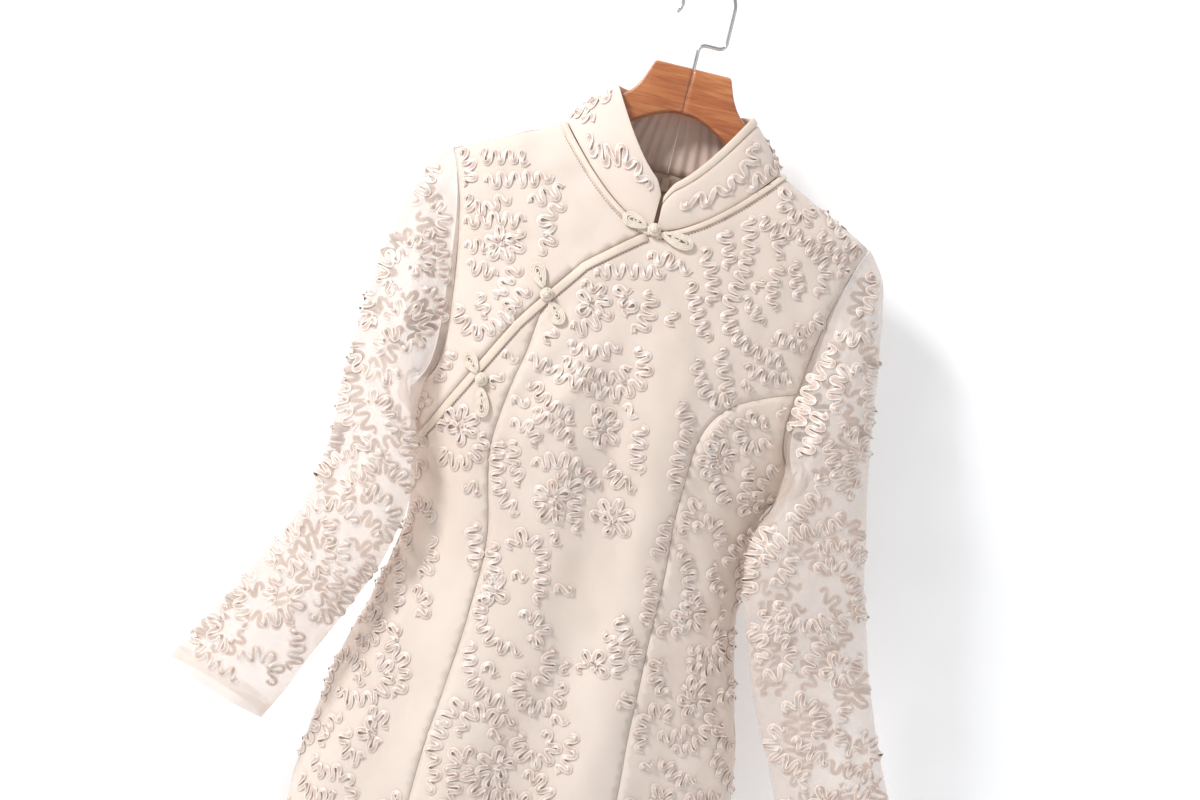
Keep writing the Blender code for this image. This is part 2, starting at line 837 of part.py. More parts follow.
def collar_height(angle):
    return (collar_top(angle) - collar_base(angle)).length


def collar_surface(angle, height):
    base = collar_base(angle)
    top = collar_top(angle)
    share = height / collar_height(angle)
    bulge = 2.0 * math.sin(math.pi * max(0.0, min(1.0, share)))
    out = Vector((math.sin(angle), -0.35 * math.cos(angle), 0.0)).normalized()
    return base.lerp(top, share) + out * bulge


COLLAR_RADIUS = 62.0


def collar_place(mirror):

    def place(u, v, lift):
        angle = u / COLLAR_RADIUS
        step = 0.012
        along = collar_surface(angle + step, v) - collar_surface(angle - step, v)
        up = collar_surface(angle, v + 0.8) - collar_surface(angle, v - 0.8)
        normal = along.cross(up).normalized()
        out = Vector((math.sin(angle), -math.cos(angle), 0.1))
        if normal.dot(out) < 0.0:
            normal.negate()
        point = collar_surface(angle, v) + normal * lift
        return Vector((point.x * mirror, point.y, point.z))

    return place


COLLAR_START = 0.02
COLLAR_END = math.pi - 0.05


def collar_angles(count, start=COLLAR_START, end=COLLAR_END):
    """Angles from the front to the back, closer together at the front."""
    return [start + (end - start) * (i / count) ** 1.25 for i in range(count + 1)]


def collar_half(name, mirror, band, seed, material):
    angles = collar_angles(26)
    first = 1 if band else 0
    low = [(a * COLLAR_RADIUS, SEAT_GAP + 0.4) for a in angles[first:]]
    tall = collar_height(angles[-1])
    low += [(angles[-1] * COLLAR_RADIUS, tall * share) for share in (0.3, 0.65)]
    high = [(a * COLLAR_RADIUS, collar_height(a) - band - (SEAT_GAP if band else 0.0))
            for a in reversed(angles[first:])]
    points = [Vector(point) for point in low + high]
    grid = []
    for share in (0.3, 0.65):
        for a in angles[first + 1:-1]:
            point = Vector((a * COLLAR_RADIUS, collar_height(a) * share))
            if inside(point, points) and distance_to_path(point, points, True) > 4.5:
                grid.append(point)
    trails = fill_with_trails(points, seed, 120)
    return wall_solid(name, points, grid, trails, collar_place(mirror),
                      lambda u, v: CLOTH_WALL, material)


def strip_solid(name, rail_one, rail_two, place, low, high, material, rows=2):
    """Closed strip between two rails of (u, v), from a low to a high lift."""
    verts, faces = [], []
    count = len(rail_one)
    for lift in (low, high):
        for a, b in zip(rail_one, rail_two):
            for row in range(rows):
                part = row / (rows - 1.0)
                u = a[0] + (b[0] - a[0]) * part
                v = a[1] + (b[1] - a[1]) * part
                verts.append(place(u, v, lift))
    layer = count * rows
    for index in range(count - 1):
        for row in range(rows - 1):
            a = index * rows + row
            b = a + rows
            faces.append((a, b, b + 1, a + 1))
            faces.append((a + layer, a + 1 + layer, b + 1 + layer, b + layer))
        for row in (0, rows - 1):
            a = index * rows + row
            b = a + rows
            faces.append((a, a + layer, b + layer, b))
    for index in (0, count - 1):
        for row in range(rows - 1):
            a = index * rows + row
            faces.append((a, a + 1, a + 1 + layer, a + layer))
    return new_object(name, verts, faces, material)


def collar_binding(name, mirror, width, material):
    angles = collar_angles(40)
    high = [(a * COLLAR_RADIUS, collar_height(a)) for a in angles]
    low = [(a * COLLAR_RADIUS, collar_height(a) - width) for a in angles]
    return strip_solid(name, low, high, collar_place(mirror), -1.9, 0.6, material)


PIPING_WIDTH = 5.5


def neck_piping(name, mirror, material):
    """Band on the body under the collar, from the front to the back."""
    one, two = [], []
    for a in collar_angles(38, 0.03, math.pi - 0.07):
        side = "front" if a < math.pi / 2.0 else "back"
        for rail, drop in ((one, 0.2), (two, PIPING_WIDTH)):
            x = (NECK_HALF + drop * 0.896) * math.sin(a)
            lean = drop * (1.0 - 0.56 * abs(math.sin(a)))
            z = neckline_z(NECK_HALF * math.sin(a), side) - lean
            rail.append((x, z, side))

    verts, faces = [], []
    count = len(one)
    for lift in (SEAT_GAP + 0.1, 1.5):
        for a, b in zip(one, two):
            for x, z, side in (a, b):
                point = on_body(across(x, z, side), z, side, lift)
                verts.append(Vector((point.x * mirror, point.y, point.z)))
    layer = count * 2
    for index in range(count - 1):
        a = index * 2
        faces.append((a, a + 2, a + 3, a + 1))
        faces.append((a + layer, a + 1 + layer, a + 3 + layer, a + 2 + layer))
        faces.append((a, a + layer, a + 2 + layer, a + 2))
        faces.append((a + 1, a + 3, a + 3 + layer, a + 1 + layer))
    for index in (0, count - 1):
        a = index * 2
        faces.append((a, a + 1, a + 1 + layer, a + layer))
    return new_object(name, verts, faces, material)


# Front and back panels

def opening_points(first, last):
    points = [(across(x, z, "front"), z) for x, z in OPENING]
    points.append((-quarter(OPENING_END_Z, "front"), OPENING_END_Z))
    return points[first:last]


def build_fronts(cloth):
    left_at = 3
    right_top = RIGHT_PRINCESS[0][0]
    left_down = seam_rows(LEFT_PRINCESS, LEFT_PRINCESS[0][0], "front")
    right_down = seam_rows(RIGHT_PRINCESS, right_top, "front")
    right_down[0] = (across(armhole_x(right_top, "front"), right_top, "front"), right_top)
    hem_length = quarter(HEM_Z, "front")
    left_u, right_u = left_down[-1][0], right_down[-1][0]
    opening_up = list(reversed(opening_points(0, left_at)))
    neck = neckline("front", 0.0)
    main = (
        neck + shoulder("front") + armhole("front", right_top + 1.0) + right_down
        + hem("front", right_u, left_u, 9) + list(reversed(left_down)) + opening_up
    )
    body_panel("front_main", main, "front", 11, 900, cloth)

    right_side = (
        right_down[:1] + armhole("front", -1000.0, right_top - 1.0)
        + side_seam("front", ARMPIT_Z)
        + hem("front", hem_length, right_u, 8) + list(reversed(right_down))[:-1]
    )
    body_panel("side_front_right", right_side, "front", 23, 420, cloth)

    side_down = [(-u, z) for u, z in side_seam("front", OPENING_END_Z)]
    left_side = (
        opening_points(left_at, None) + side_down[1:]
        + hem("front", -hem_length, left_u, 8) + list(reversed(left_down))[:-1]
    )
    body_panel("side_front_left", left_side, "front", 37, 420, cloth)

    yoke = neck + shoulder("front") + armhole("front") + side_seam("front", ARMPIT_Z)
    yoke = [(-u, z) for u, z in yoke if z > OPENING_END_Z + 1.0]
    yoke = yoke[1:] + list(reversed(opening_points(0, None)))
    body_panel("front_under", yoke, "front", 41, 420, cloth)


def zip_half_gap(z):
    """Half of the gap between the back panels, wider where the slider is."""
    if z > SLIDER_BOTTOM - 2.0:
        return 4.2
    if z > ZIP_END:
        return 1.9
    return SEAM_GAP * 0.5


ZIP_END = -655.0
SLIDER_TOP = -174.0
SLIDER_BOTTOM = -186.0


def build_backs(cloth):
    hem_length = quarter(HEM_Z, "back")
    centre_rows = [-187.9, -191.0, -210.0, -240.0, -275.0, -310.0, -345.0, -380.0, -420.0]
    centre_rows += [z for z in ROWS if z > ZIP_END + 20.0] + [ZIP_END + 0.1, ZIP_END - 2.0]
    centre_rows += [z for z in ROWS if z < ZIP_END - 20.0]
    centre = [(zip_half_gap(z), z) for z in centre_rows]
    half = (
        neckline("back", 4.2) + shoulder("back") + armhole("back")
        + side_seam("back", ARMPIT_Z) + hem("back", hem_length, 0.0, 15)
        + list(reversed(centre))
    )
    body_panel("back_right", half, "back", 53, 900, cloth)
    body_panel("back_left", [(-u, z) for u, z in half], "back", 67, 900, cloth)


# Opening band, frogs

def resampled(points, step):
    result = [Vector(points[0])]
    for start, end in zip(points, points[1:]):
        start, end = Vector(start), Vector(end)
        count = max(1, round((end - start).length / step))
        for index in range(1, count + 1):
            result.append(start.lerp(end, index / count))
    return result


def build_opening_band(cloth):
    line = resampled(opening_points(1, None), 8.5)
    line = line[1:-1]
    lower = []
    for index, point in enumerate(line):
        before = line[max(0, index - 1)]
        after = line[min(len(line) - 1, index + 1)]
        along = (after - before).normalized()
        lower.append(point + Vector((-along.y, along.x)) * OPENING_BAND)
    strip_solid(
        "opening_band", line, lower,
        lambda u, z, lift: on_body(u, z, "front", lift),
        SEAT_GAP + 0.15, 1.9, cloth,
    )


FROG_COLUMNS = ("x", "z", "first_turn", "second_turn", "first_length", "second_length", "lift")
FROGS = (
    (0.0, -227.5, 168.0, -10.0, 24.0, 31.0, 2.1),
    (-75.0, -303.0, 124.0, -49.0, 24.0, 24.0, 2.2),
    (-111.0, -386.0, 134.0, -75.0, 22.0, 27.0, 2.2),
)
LEAF_WIDTH = 12.5
LEAF_THICK = 3.0
KNOT_RADIUS = 4.2
LOOP_RADIUS = 4.7
CORD_RADIUS = 1.1


def body_spot(x, z, lift):
    return on_body(across(x, z, "front"), z, "front", lift)


def frog_leaf(name, frog, turn, length, cord):
    """Flat coil of cord with a leaf outline that points at the knot."""
    angle = math.radians(turn)
    start = LOOP_RADIUS + CORD_RADIUS + 0.4
    centre = Vector((frog["x"], frog["z"]))
    along = Vector((math.cos(angle), math.sin(angle)))
    side = Vector((-along.y, along.x))
    middle = centre + along * (start + length / 2.0)
    count = 12
    shares = (1.0, 0.7)
    verts, faces = [], []
    for top in (False, True):
        for share in shares:
            for index in range(count):
                t = 2.0 * math.pi * index / count
                p = -math.cos(t) * length / 2.0 * share
                q = math.sin(t) * LEAF_WIDTH / 2.0 * share * (1.0 - 0.35 * math.cos(t))
                spot = middle + along * p + side * q
                lift = frog["lift"]
                if top:
                    lift += LEAF_THICK * math.sqrt(1.0 - 0.88 * share * share)
                verts.append(body_spot(spot.x, spot.y, lift))
        lift = frog["lift"] + (LEAF_THICK if top else 0.0)
        verts.append(body_spot(middle.x, middle.y, lift))
    layer = count * len(shares) + 1
    for top in (0, 1):
        base = top * layer
        for ring in range(len(shares) - 1):
            for index in range(count):
                a = base + ring * count + index
                b = base + ring * count + (index + 1) % count
                faces.append((a, b, b + count, a + count))
        for index in range(count):
            a = base + (len(shares) - 1) * count + index
            b = base + (len(shares) - 1) * count + (index + 1) % count
            faces.append((a, b, base + layer - 1))
    for index in range(count):
        after = (index + 1) % count
        faces.append((index, after, after + layer, index + layer))
    new_object(name, verts, faces, cord)


def build_frogs(cord):
    for number, row in enumerate(FROGS, 1):
        frog = dict(zip(FROG_COLUMNS, row))
        frog_leaf(f"frog_{number}_upper", frog, frog["first_turn"], frog["first_length"], cord)
        frog_leaf(f"frog_{number}_lower", frog, frog["second_turn"], frog["second_length"], cord)
        u = across(frog["x"], frog["z"], "front")
        spot = body_point(u, frog["z"], "front")
        normal = body_normal(u, frog["z"], "front")
        turned = normal.to_track_quat("Z", "Y")
        middle = spot + normal * (frog["lift"] + CORD_RADIUS + 0.2)
        bpy.ops.mesh.primitive_torus_add(
            major_radius=LOOP_RADIUS * MM, minor_radius=CORD_RADIUS * MM,
            major_segments=14, minor_segments=6,
            location=middle * MM, rotation=turned.to_euler(),
        )
        finish_primitive(f"frog_{number}_loop", cord)
        middle = spot + normal * (frog["lift"] + KNOT_RADIUS + 0.2)
        bpy.ops.mesh.primitive_uv_sphere_add(
            segments=10, ring_count=6, radius=KNOT_RADIUS * MM,
            location=middle * MM, rotation=turned.to_euler(),
        )
        finish_primitive(f"frog_{number}_knot", cord)


def finish_primitive(name, material):
    item = bpy.context.active_object
    item.name = name
    item.data.name = name
    bpy.ops.object.shade_smooth()
    item.data.materials.clear()
    item.data.materials.append(material)
    return item


# Gathered lining at the back of the collar

LINING_GATHERS = 9
LINING_DEPTH = 0.8
LINING_WALL = 1.0


def build_collar_lining(cloth):
    for name, mirror in (("collar_lining_right", 1.0), ("collar_lining_left", -1.0)):
        place = collar_place(mirror)
        start, end = math.radians(118.0), math.pi - 0.09
        count = LINING_GATHERS * 5
        low, high = [], []
        for index in range(count + 1):
            a = start + (end - start) * index / count
            low.append((a * COLLAR_RADIUS, 2.0))
            high.append((a * COLLAR_RADIUS, collar_height(a) - 3.0))
        wave = 2.0 * math.pi * LINING_GATHERS / ((end - start) * COLLAR_RADIUS)

        def gathered(u, v, lift):
            return place(u, v, lift - LINING_DEPTH * (1.0 + math.sin(wave * u)))

        strip_solid(name, low, high, gathered, -2.1 - LINING_WALL, -2.1, cloth, 2)


# Centre-back zip

TOOTH_HALF = 1.5
TAPE_HALF = 12.0
SLIDER_HALF = 3.8
SLIDER_IN = 24.0
SLIDER_OUT = 33.6
PULL_Y = 35.3
PULL_Z = -176.6
PULL_LENGTH = 22.0


def back_strip(name, half, top, low, high, step, material):
    rows = sampled(top, ZIP_END + 0.5, step)
    one = [(-half, z) for z in rows]
    two = [(half, z) for z in rows]
    strip_solid(name, one, two, lambda u, z, lift: on_body(u, z, "back", lift),
                low, high, material, 3)


def box_object(name, low, high, material):
    size = [(b - a) * MM for a, b in zip(low, high)]
    middle = [(a + b) / 2.0 * MM for a, b in zip(low, high)]
    bpy.ops.mesh.primitive_cube_add(size=1.0, location=middle)
    item = bpy.context.active_object
    item.scale = size
    bpy.ops.object.transform_apply(location=False, rotation=False, scale=True)
    item.name = name
    item.data.name = name
    item.data.materials.append(material)
    return item


def join_solid(item, other):
    """Adds another solid to an object with a boolean union."""
    boolean = item.modifiers.new("join", "BOOLEAN")
    boolean.operation = "UNION"
    boolean.solver = "EXACT"
    boolean.object = other
    bpy.ops.object.select_all(action="DESELECT")
    item.select_set(True)
    bpy.context.view_layer.objects.active = item
    bpy.ops.object.modifier_apply(modifier=boolean.name)
    bpy.data.objects.remove(other, do_unlink=True)


def build_zip(tape, metal):
    back_strip("zip_teeth", TOOTH_HALF, SLIDER_BOTTOM - 0.4, -1.4, -0.1, 24.0, metal)
    back_strip("zip_tape", TAPE_HALF, SLIDER_BOTTOM - 2.0, -3.1, -2.3, 26.0, tape)
    slider = box_object(
        "zip_slider",
        (-SLIDER_HALF, SLIDER_IN, SLIDER_BOTTOM), (SLIDER_HALF, SLIDER_OUT, SLIDER_TOP), metal,
    )
    bevel = slider.modifiers.new("edges", "BEVEL")
    bevel.width = 0.7 * MM
    bevel.segments = 1
    bpy.context.view_layer.objects.active = slider
    bpy.ops.object.modifier_apply(modifier=bevel.name)
    for x in (-2.8, 2.8):
        ear = box_object(
            "ear", (x - 0.5, SLIDER_OUT - 1.0, PULL_Z - 1.8),
            (x + 0.5, PULL_Y + 1.6, PULL_Z + 1.8), metal,
        )
        join_solid(slider, ear)

    bpy.ops.mesh.primitive_cylinder_add(
        vertices=16, radius=1.3 * MM, depth=4.0 * MM,
        location=(0.0, PULL_Y * MM, PULL_Z * MM), rotation=(0.0, math.pi / 2.0, 0.0),
    )
    pull = finish_primitive("zip_pull", metal)
    blade = box_object(
        "blade", (-1.8, PULL_Y - 0.5, PULL_Z - 9.0), (1.8, PULL_Y + 0.5, PULL_Z - 0.4), metal,
    )
    join_solid(pull, blade)
    blade = box_object(
        "blade", (-2.6, PULL_Y - 0.6, PULL_Z - PULL_LENGTH),
        (2.6, PULL_Y + 0.6, PULL_Z - 8.0), metal,
    )
    join_solid(pull, blade)
    for item in (slider, pull):
        for face in item.data.polygons:
            face.use_smooth = False


# Wooden hanger and wire hook

HANGER_COLUMNS = ("x", "top", "bottom", "half_thick")
HANGER = (
    (0.0, -78.5, -119.4, 6.5),
    (13.0, -78.5, -120.8, 6.5),
    (25.0, -78.5, -125.7, 6.5),
    (34.0, -79.5, -130.8, 6.5),
    (37.0, -87.0, -132.6, 6.5),
    (41.0, -97.0, -135.2, 6.5),
    (48.0, -108.0, -140.6, 6.5),
    (60.0, -119.0, -150.5, 6.2),
    (78.0, -137.0, -163.5, 5.2),
    (95.0, -153.6, -174.5, 4.6),
    (120.0, -166.1, -185.5, 4.2),
    (150.0, -180.8, -198.5, 4.2),
    (166.0, -189.4, -205.0, 4.0),
    (171.5, -194.5, -205.0, 3.4),
    (174.0, -197.0, -203.0, 2.4),
)
HOOK_RADIUS = 1.8
HOOK_BEND = 23.0
STEM_SHIFT = 23.0


def build_hanger(wood):
    stations = [(-row[0],) + row[1:] for row in reversed(HANGER[1:])] + list(HANGER)
    verts, faces = [], []
    round_x = ((1.0, 0.0), (0.97, 0.6), (0.7, 0.93), (0.35, 1.0))
    outline = list(round_x) + [(-y, z) for y, z in reversed(round_x)]
    outline += [(-y, -z) for y, z in round_x[1:]]
    outline += [(y, -z) for y, z in reversed(round_x[1:])]
    count = len(outline)
    for x, top, bottom, thick in stations:
        middle = (top + bottom) / 2.0
        half = (top - bottom) / 2.0
        corner = min(4.0, half)
        for y, z in outline:
            flat = half - corner
            height = math.copysign(flat, z) + z * corner if z else 0.0
            verts.append((x, y * thick, middle + height))
    for index in range(len(stations) - 1):
        for side in range(count):
            a = index * count + side
            b = index * count + (side + 1) % count
            faces.append((a, b, b + count, a + count))
    faces.append(tuple(range(count)))
    faces.append(tuple(range((len(stations) - 1) * count, len(stations) * count)))
    hanger = new_object("hanger", verts, faces, wood)
    bpy.ops.mesh.primitive_cylinder_add(
        vertices=16, radius=2.2 * MM, depth=30.0 * MM, location=(0.0, 0.0, -78.0 * MM),
    )
    drill = bpy.context.active_object
    boolean = hanger.modifiers.new("hole", "BOOLEAN")
    boolean.operation = "DIFFERENCE"
    boolean.solver = "EXACT"
    boolean.object = drill
    bpy.ops.object.select_all(action="DESELECT")
    hanger.select_set(True)
    bpy.context.view_layer.objects.active = hanger
    bpy.ops.object.modifier_apply(modifier=boolean.name)
    bpy.data.objects.remove(drill, do_unlink=True)


def arc(centre_x, centre_z, radius, start, end, count):
    points = []
    for index in range(count + 1):
        turn = math.radians(start + (end - start) * index / count)
        points.append((centre_x + radius * math.cos(turn), centre_z + radius * math.sin(turn)))
    return points


def build_hook(wire):
    """Wire that rises from the wood, steps aside and bends over."""
    crown = HOOK_RADIUS
    centre_z = crown - HOOK_BEND
    path = [(0.0, -92.0), (0.0, -80.0), (0.0, -66.0)]
    path += arc(6.0, -62.0, 6.0, 180.0, 90.0, 4)
    path += arc(STEM_SHIFT - 6.0, -50.0, 6.0, -90.0, 0.0, 4)
    path += [(STEM_SHIFT, -36.0)]
    path += arc(0.0, centre_z, HOOK_BEND, 0.0, 190.0, 18)
    path += [(-HOOK_BEND - 0.6, centre_z - 8.0), (-HOOK_BEND - 2.8, centre_z - 12.0)]
    points = [Vector((x, 0.0, z)) for x, z in path]
    sides = 8
    verts, faces = [], []
    for index, point in enumerate(points):
        before = points[max(0, index - 1)]
        after = points[min(len(points) - 1, index + 1)]
        along = (after - before).normalized()
        across_wire = Vector((along.z, 0.0, -along.x))
        for side in range(sides):
            turn = 2.0 * math.pi * side / sides
            verts.append(point + across_wire * (HOOK_RADIUS * math.cos(turn))
                         + Vector((0.0, HOOK_RADIUS * math.sin(turn), 0.0)))
    for index in range(len(points) - 1):
        for side in range(sides):
            a = index * sides + side
            b = index * sides + (side + 1) % sides
            faces.append((a, b, b + sides, a + sides))
    faces.append(tuple(range(sides)))
    faces.append(tuple(range((len(points) - 1) * sides, len(points) * sides)))
    new_object("hook", verts, faces, wire)


def new_material(name, colour, roughness, metallic=0.0):
    material = bpy.data.materials.new(name)
    material.use_nodes = True
    shader = material.node_tree.nodes["Principled BSDF"]
    shader.inputs["Base Color"].default_value = colour + (1.0,)
    shader.inputs["Roughness"].default_value = roughness
    shader.inputs["Metallic"].default_value = metallic
    material.diffuse_color = colour + (1.0,)
    return material


def build():
    for item in list(bpy.data.objects):
        bpy.data.objects.remove(item, do_unlink=True)
    cloth = new_material("cream_crepe", (0.84, 0.71, 0.62), 0.75)
    sheer = new_material("sheer_net", (0.86, 0.76, 0.70), 0.7)
    lining = new_material("blush_lining", (0.76, 0.60, 0.52), 0.7)
    band = new_material("cream_binding", (0.82, 0.70, 0.60), 0.65)
    cord = new_material("ivory_cord", (0.88, 0.80, 0.66), 0.6)
    tape = new_material("beige_tape", (0.72, 0.58, 0.46), 0.8)
    metal = new_material("enamelled_beige", (0.70, 0.54, 0.40), 0.35, 0.3)
    wood = new_material("lacquered_wood", (0.52, 0.17, 0.06), 0.3)
    wire = new_material("chrome_wire", (0.80, 0.80, 0.80), 0.15, 1.0)
    build_fronts(cloth)
    build_backs(cloth)
    sleeve("sleeve_right", RIGHT_SLEEVE, 1.0, 71, sheer)
    sleeve("sleeve_left", LEFT_SLEEVE, -1.0, 83, sheer)
    collar_half("collar_right", 1.0, OPENING_BAND, 91, cloth)
    collar_half("collar_left", -1.0, 0.0, 97, cloth)
    collar_binding("collar_binding", 1.0, OPENING_BAND, band)
    neck_piping("neck_piping_right", 1.0, band)
    neck_piping("neck_piping_left", -1.0, band)
    build_opening_band(band)
    build_collar_lining(lining)
    build_frogs(cord)
    build_zip(tape, metal)
    build_hanger(wood)
    build_hook(wire)


build()
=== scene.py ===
import math

import bpy
import numpy as np
from mathutils import Matrix, Vector
from mathutils.bvhtree import BVHTree
from mathutils.geometry import delaunay_2d_cdt


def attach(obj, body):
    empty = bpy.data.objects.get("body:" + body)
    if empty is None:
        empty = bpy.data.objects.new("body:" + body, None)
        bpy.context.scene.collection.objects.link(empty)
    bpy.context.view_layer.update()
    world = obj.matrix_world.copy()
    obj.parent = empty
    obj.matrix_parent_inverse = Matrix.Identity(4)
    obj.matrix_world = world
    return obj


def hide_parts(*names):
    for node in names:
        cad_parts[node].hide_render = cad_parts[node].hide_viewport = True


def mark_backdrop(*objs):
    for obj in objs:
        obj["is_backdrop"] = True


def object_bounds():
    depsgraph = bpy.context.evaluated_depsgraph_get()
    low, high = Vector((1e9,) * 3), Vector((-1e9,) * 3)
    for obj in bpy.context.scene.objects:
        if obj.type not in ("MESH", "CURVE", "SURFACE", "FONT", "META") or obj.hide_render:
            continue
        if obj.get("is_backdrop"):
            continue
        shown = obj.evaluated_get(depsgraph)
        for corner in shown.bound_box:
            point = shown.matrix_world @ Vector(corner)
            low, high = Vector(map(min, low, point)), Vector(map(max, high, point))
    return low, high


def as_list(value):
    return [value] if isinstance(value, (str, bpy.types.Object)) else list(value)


# Cheongsam dress with serpentine ribbon work, on a wooden hanger
# lengths below are in millimetres and turned into metres when a mesh is made

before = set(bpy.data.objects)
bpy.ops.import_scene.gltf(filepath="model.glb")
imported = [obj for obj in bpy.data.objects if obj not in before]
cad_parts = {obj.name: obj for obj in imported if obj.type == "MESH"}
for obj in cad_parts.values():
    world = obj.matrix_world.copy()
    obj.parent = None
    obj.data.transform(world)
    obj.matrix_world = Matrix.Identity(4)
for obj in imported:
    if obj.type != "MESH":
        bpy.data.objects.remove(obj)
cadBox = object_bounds()
bpy.ops.object.select_all(action="DESELECT")
mm = 0.001
print("frame loaded")


# camera, set square to the flat dress and rolled as it lies in the picture

cameraSetup = {"lens": 60.0, "distance": 1.70, "middle": (-0.010, -0.05, -0.379), "roll": 13.9}


def addCamera(setup):
    x, y, z = setup["middle"]
    roll = math.radians(setup["roll"])
    right = Vector((math.cos(roll), 0.0, math.sin(roll)))
    up = Vector((-math.sin(roll), 0.0, math.cos(roll)))
    back = Vector((0.0, -1.0, 0.0))
    data = bpy.data.cameras.new("camera")
    data.lens = setup["lens"]
    data.sensor_width = 36.0
    data.clip_end = 50.0
    camera = bpy.data.objects.new("camera", data)
    turned = Matrix((right, up, back)).transposed().to_4x4()
    camera.matrix_world = Matrix.Translation((x, y - setup["distance"], z)) @ turned
    bpy.context.scene.collection.objects.link(camera)
    bpy.context.scene.camera = camera


addCamera(cameraSetup)


# shape of the body: z, half width, front depth, back depth

body = {
    "neckZ": -150.0, "neckHalf": 97.0, "tipZ": -195.0, "tipHalf": 188.0,
    "frontNeckZ": -228.0, "backNeckZ": -168.0, "armpitZ": -407.0, "hemZ": -1150.0,
    "roundness": 0.33,
    "rows": (
        (-150, 97, 26, 25), (-195, 188, 36, 32), (-230, 189, 42.5, 37), (-275, 188, 51, 43),
        (-330, 184, 58.5, 47), (-401, 176, 62, 48), (-460, 160, 56, 45), (-520, 151, 50, 43),
        (-580, 161, 53, 48), (-655, 180, 59, 56), (-741, 191, 63, 61), (-860, 193, 63, 61),
        (-1000, 190, 61, 59), (-1150, 187, 60, 58),
    ),
    # z, front x, back x
    "armhole": (
        (-195, 188, 188), (-212, 180.5, 182), (-240, 170, 175), (-275, 162, 170),
        (-320, 155, 166), (-358, 151, 163), (-384, 153.5, 164.5), (-399, 162.5, 170),
        (-407, 174.4, 174.4),
    ),
    # side, x and z at the top, x and z at the end, width, height
    "folds": (
        ("front", 40, -340, 66, -610, 26, 5.5), ("front", 4, -360, 22, -640, 26, -4.5),
        ("front", -34, -370, -16, -640, 24, 3), ("front", -52, -600, -64, -1150, 28, 6),
        ("front", 4, -640, 2, -1150, 30, -6), ("front", 60, -640, 70, -1150, 28, 6.5),
        ("front", -116, -640, -124, -1150, 26, -5), ("front", 120, -650, 128, -1150, 26, -5),
        ("back", -62, -560, -66, -1150, 28, 6), ("back", 60, -560, 66, -1150, 28, 6),
        ("back", -96, -280, -60, -520, 26, -4), ("back", 96, -280, 60, -520, 26, -4),
        ("back", 120, -640, 124, -1150, 26, -5), ("back", -120, -640, -124, -1150, 26, -5),
    ),
    # small creases of the front: x and z of both ends, width, height
    "creases": (
        (-52, -300, -96, -372, 6, -2.02), (-34, -330, -84, -408, 7, -2.33),
        (-20, -352, -66, -430, 8, 2.17), (6, -366, 18, -470, 11, -2.79),
        (34, -390, 38, -520, 9, -2.17), (52, -330, 70, -420, 8, 1.86),
        (-120, -400, -96, -500, 8, 2.17), (-132, -440, -112, -560, 9, -2.48),
        (-60, -500, -20, -540, 10, -1.86), (-52, -540, -8, -585, 11, 2.17),
        (30, -560, 78, -600, 10, -2.17), (100, -430, 120, -520, 9, 2.02),
        (86, -250, 120, -300, 9, -1.71), (20, -262, 52, -300, 8, -1.55),
        (-150, -250, -110, -300, 9, -1.86), (-60, -190, -110, -212, 9, -1.4),
        (-40, -250, -110, -262, 8, -1.24), (-34, -268, -84, -296, 8, 1.4),
    ),
}
leftPrincess = (
    (-302, -76), (-340, -79), (-398, -88), (-444, -91), (-515, -76), (-576, -75),
    (-634, -79), (-724, -86), (-1150, -92),
)
rightPrincess = (
    (-334, 153), (-345, 124), (-360, 98), (-384, 82), (-420, 77), (-468, 77),
    (-515, 80), (-572, 80.5), (-648, 82.5), (-724, 86), (-1150, 92),
)
opening = {
    "line": (
        (-1, -228), (-12, -235), (-53, -270), (-76, -302), (-96, -331), (-117, -372),
        (-133, -402), (-147, -430),
    ),
    "endZ": -462.0, "band": 7.0,
}


def smoothStep(value):
    value = np.clip(value, 0.0, 1.0)
    return value * value * (3.0 - 2.0 * value)


def smoothColumn(rows, keys, column):  # smooth curve through a table's column
    table = np.array(rows, dtype=float)
    at, value = table[:, 0], table[:, column]
    if at[0] > at[-1]:
        at, value = at[::-1], value[::-1]
    slope = np.empty(len(at))
    slope[1:-1] = (value[2:] - value[:-2]) / (at[2:] - at[:-2])
    slope[0] = (value[1] - value[0]) / (at[1] - at[0])
    slope[-1] = (value[-1] - value[-2]) / (at[-1] - at[-2])
    keys = np.clip(np.asarray(keys, dtype=float), at[0], at[-1])
    low = np.clip(np.searchsorted(at, keys, side="right") - 1, 0, len(at) - 2)
    span = at[low + 1] - at[low]
    part = (keys - at[low]) / span
    square = part * part
    cube = square * part
    return (
        (2 * cube - 3 * square + 1) * value[low] + (cube - 2 * square + part) * span * slope[low]
        + (3 * square - 2 * cube) * value[low + 1] + (cube - square) * span * slope[low + 1]
    )


def halfWidth(z):
    share = (body["neckZ"] - z) / (body["neckZ"] - body["tipZ"])
    sloped = body["neckHalf"] + (body["tipHalf"] - body["neckHalf"]) * share
    return np.where(z > body["tipZ"], sloped, smoothColumn(body["rows"][1:], z, 1))


def depthAt(z, side):
    return smoothColumn(body["rows"], z, 2 if side == "front" else 3)


def quarterGirth(z, side):
    a, b = halfWidth(z), depthAt(z, side)
    return math.pi / 4.0 * (3.0 * (a + b) - np.sqrt((3.0 * a + b) * (a + 3.0 * b)))


def angleToShare(angle):
    return (1.0 - body["roundness"]) * np.sin(angle) + body["roundness"] * angle * 2.0 / math.pi


def shareToAngle(share):
    size = np.abs(share)
    angle = np.minimum(size, 1.0) * math.pi / 2.0
    for _ in range(5):
        slope = (1.0 - body["roundness"]) * np.cos(angle) + body["roundness"] * 2.0 / math.pi
        angle = angle - (angleToShare(angle) - size) / slope
    return np.sign(share) * angle


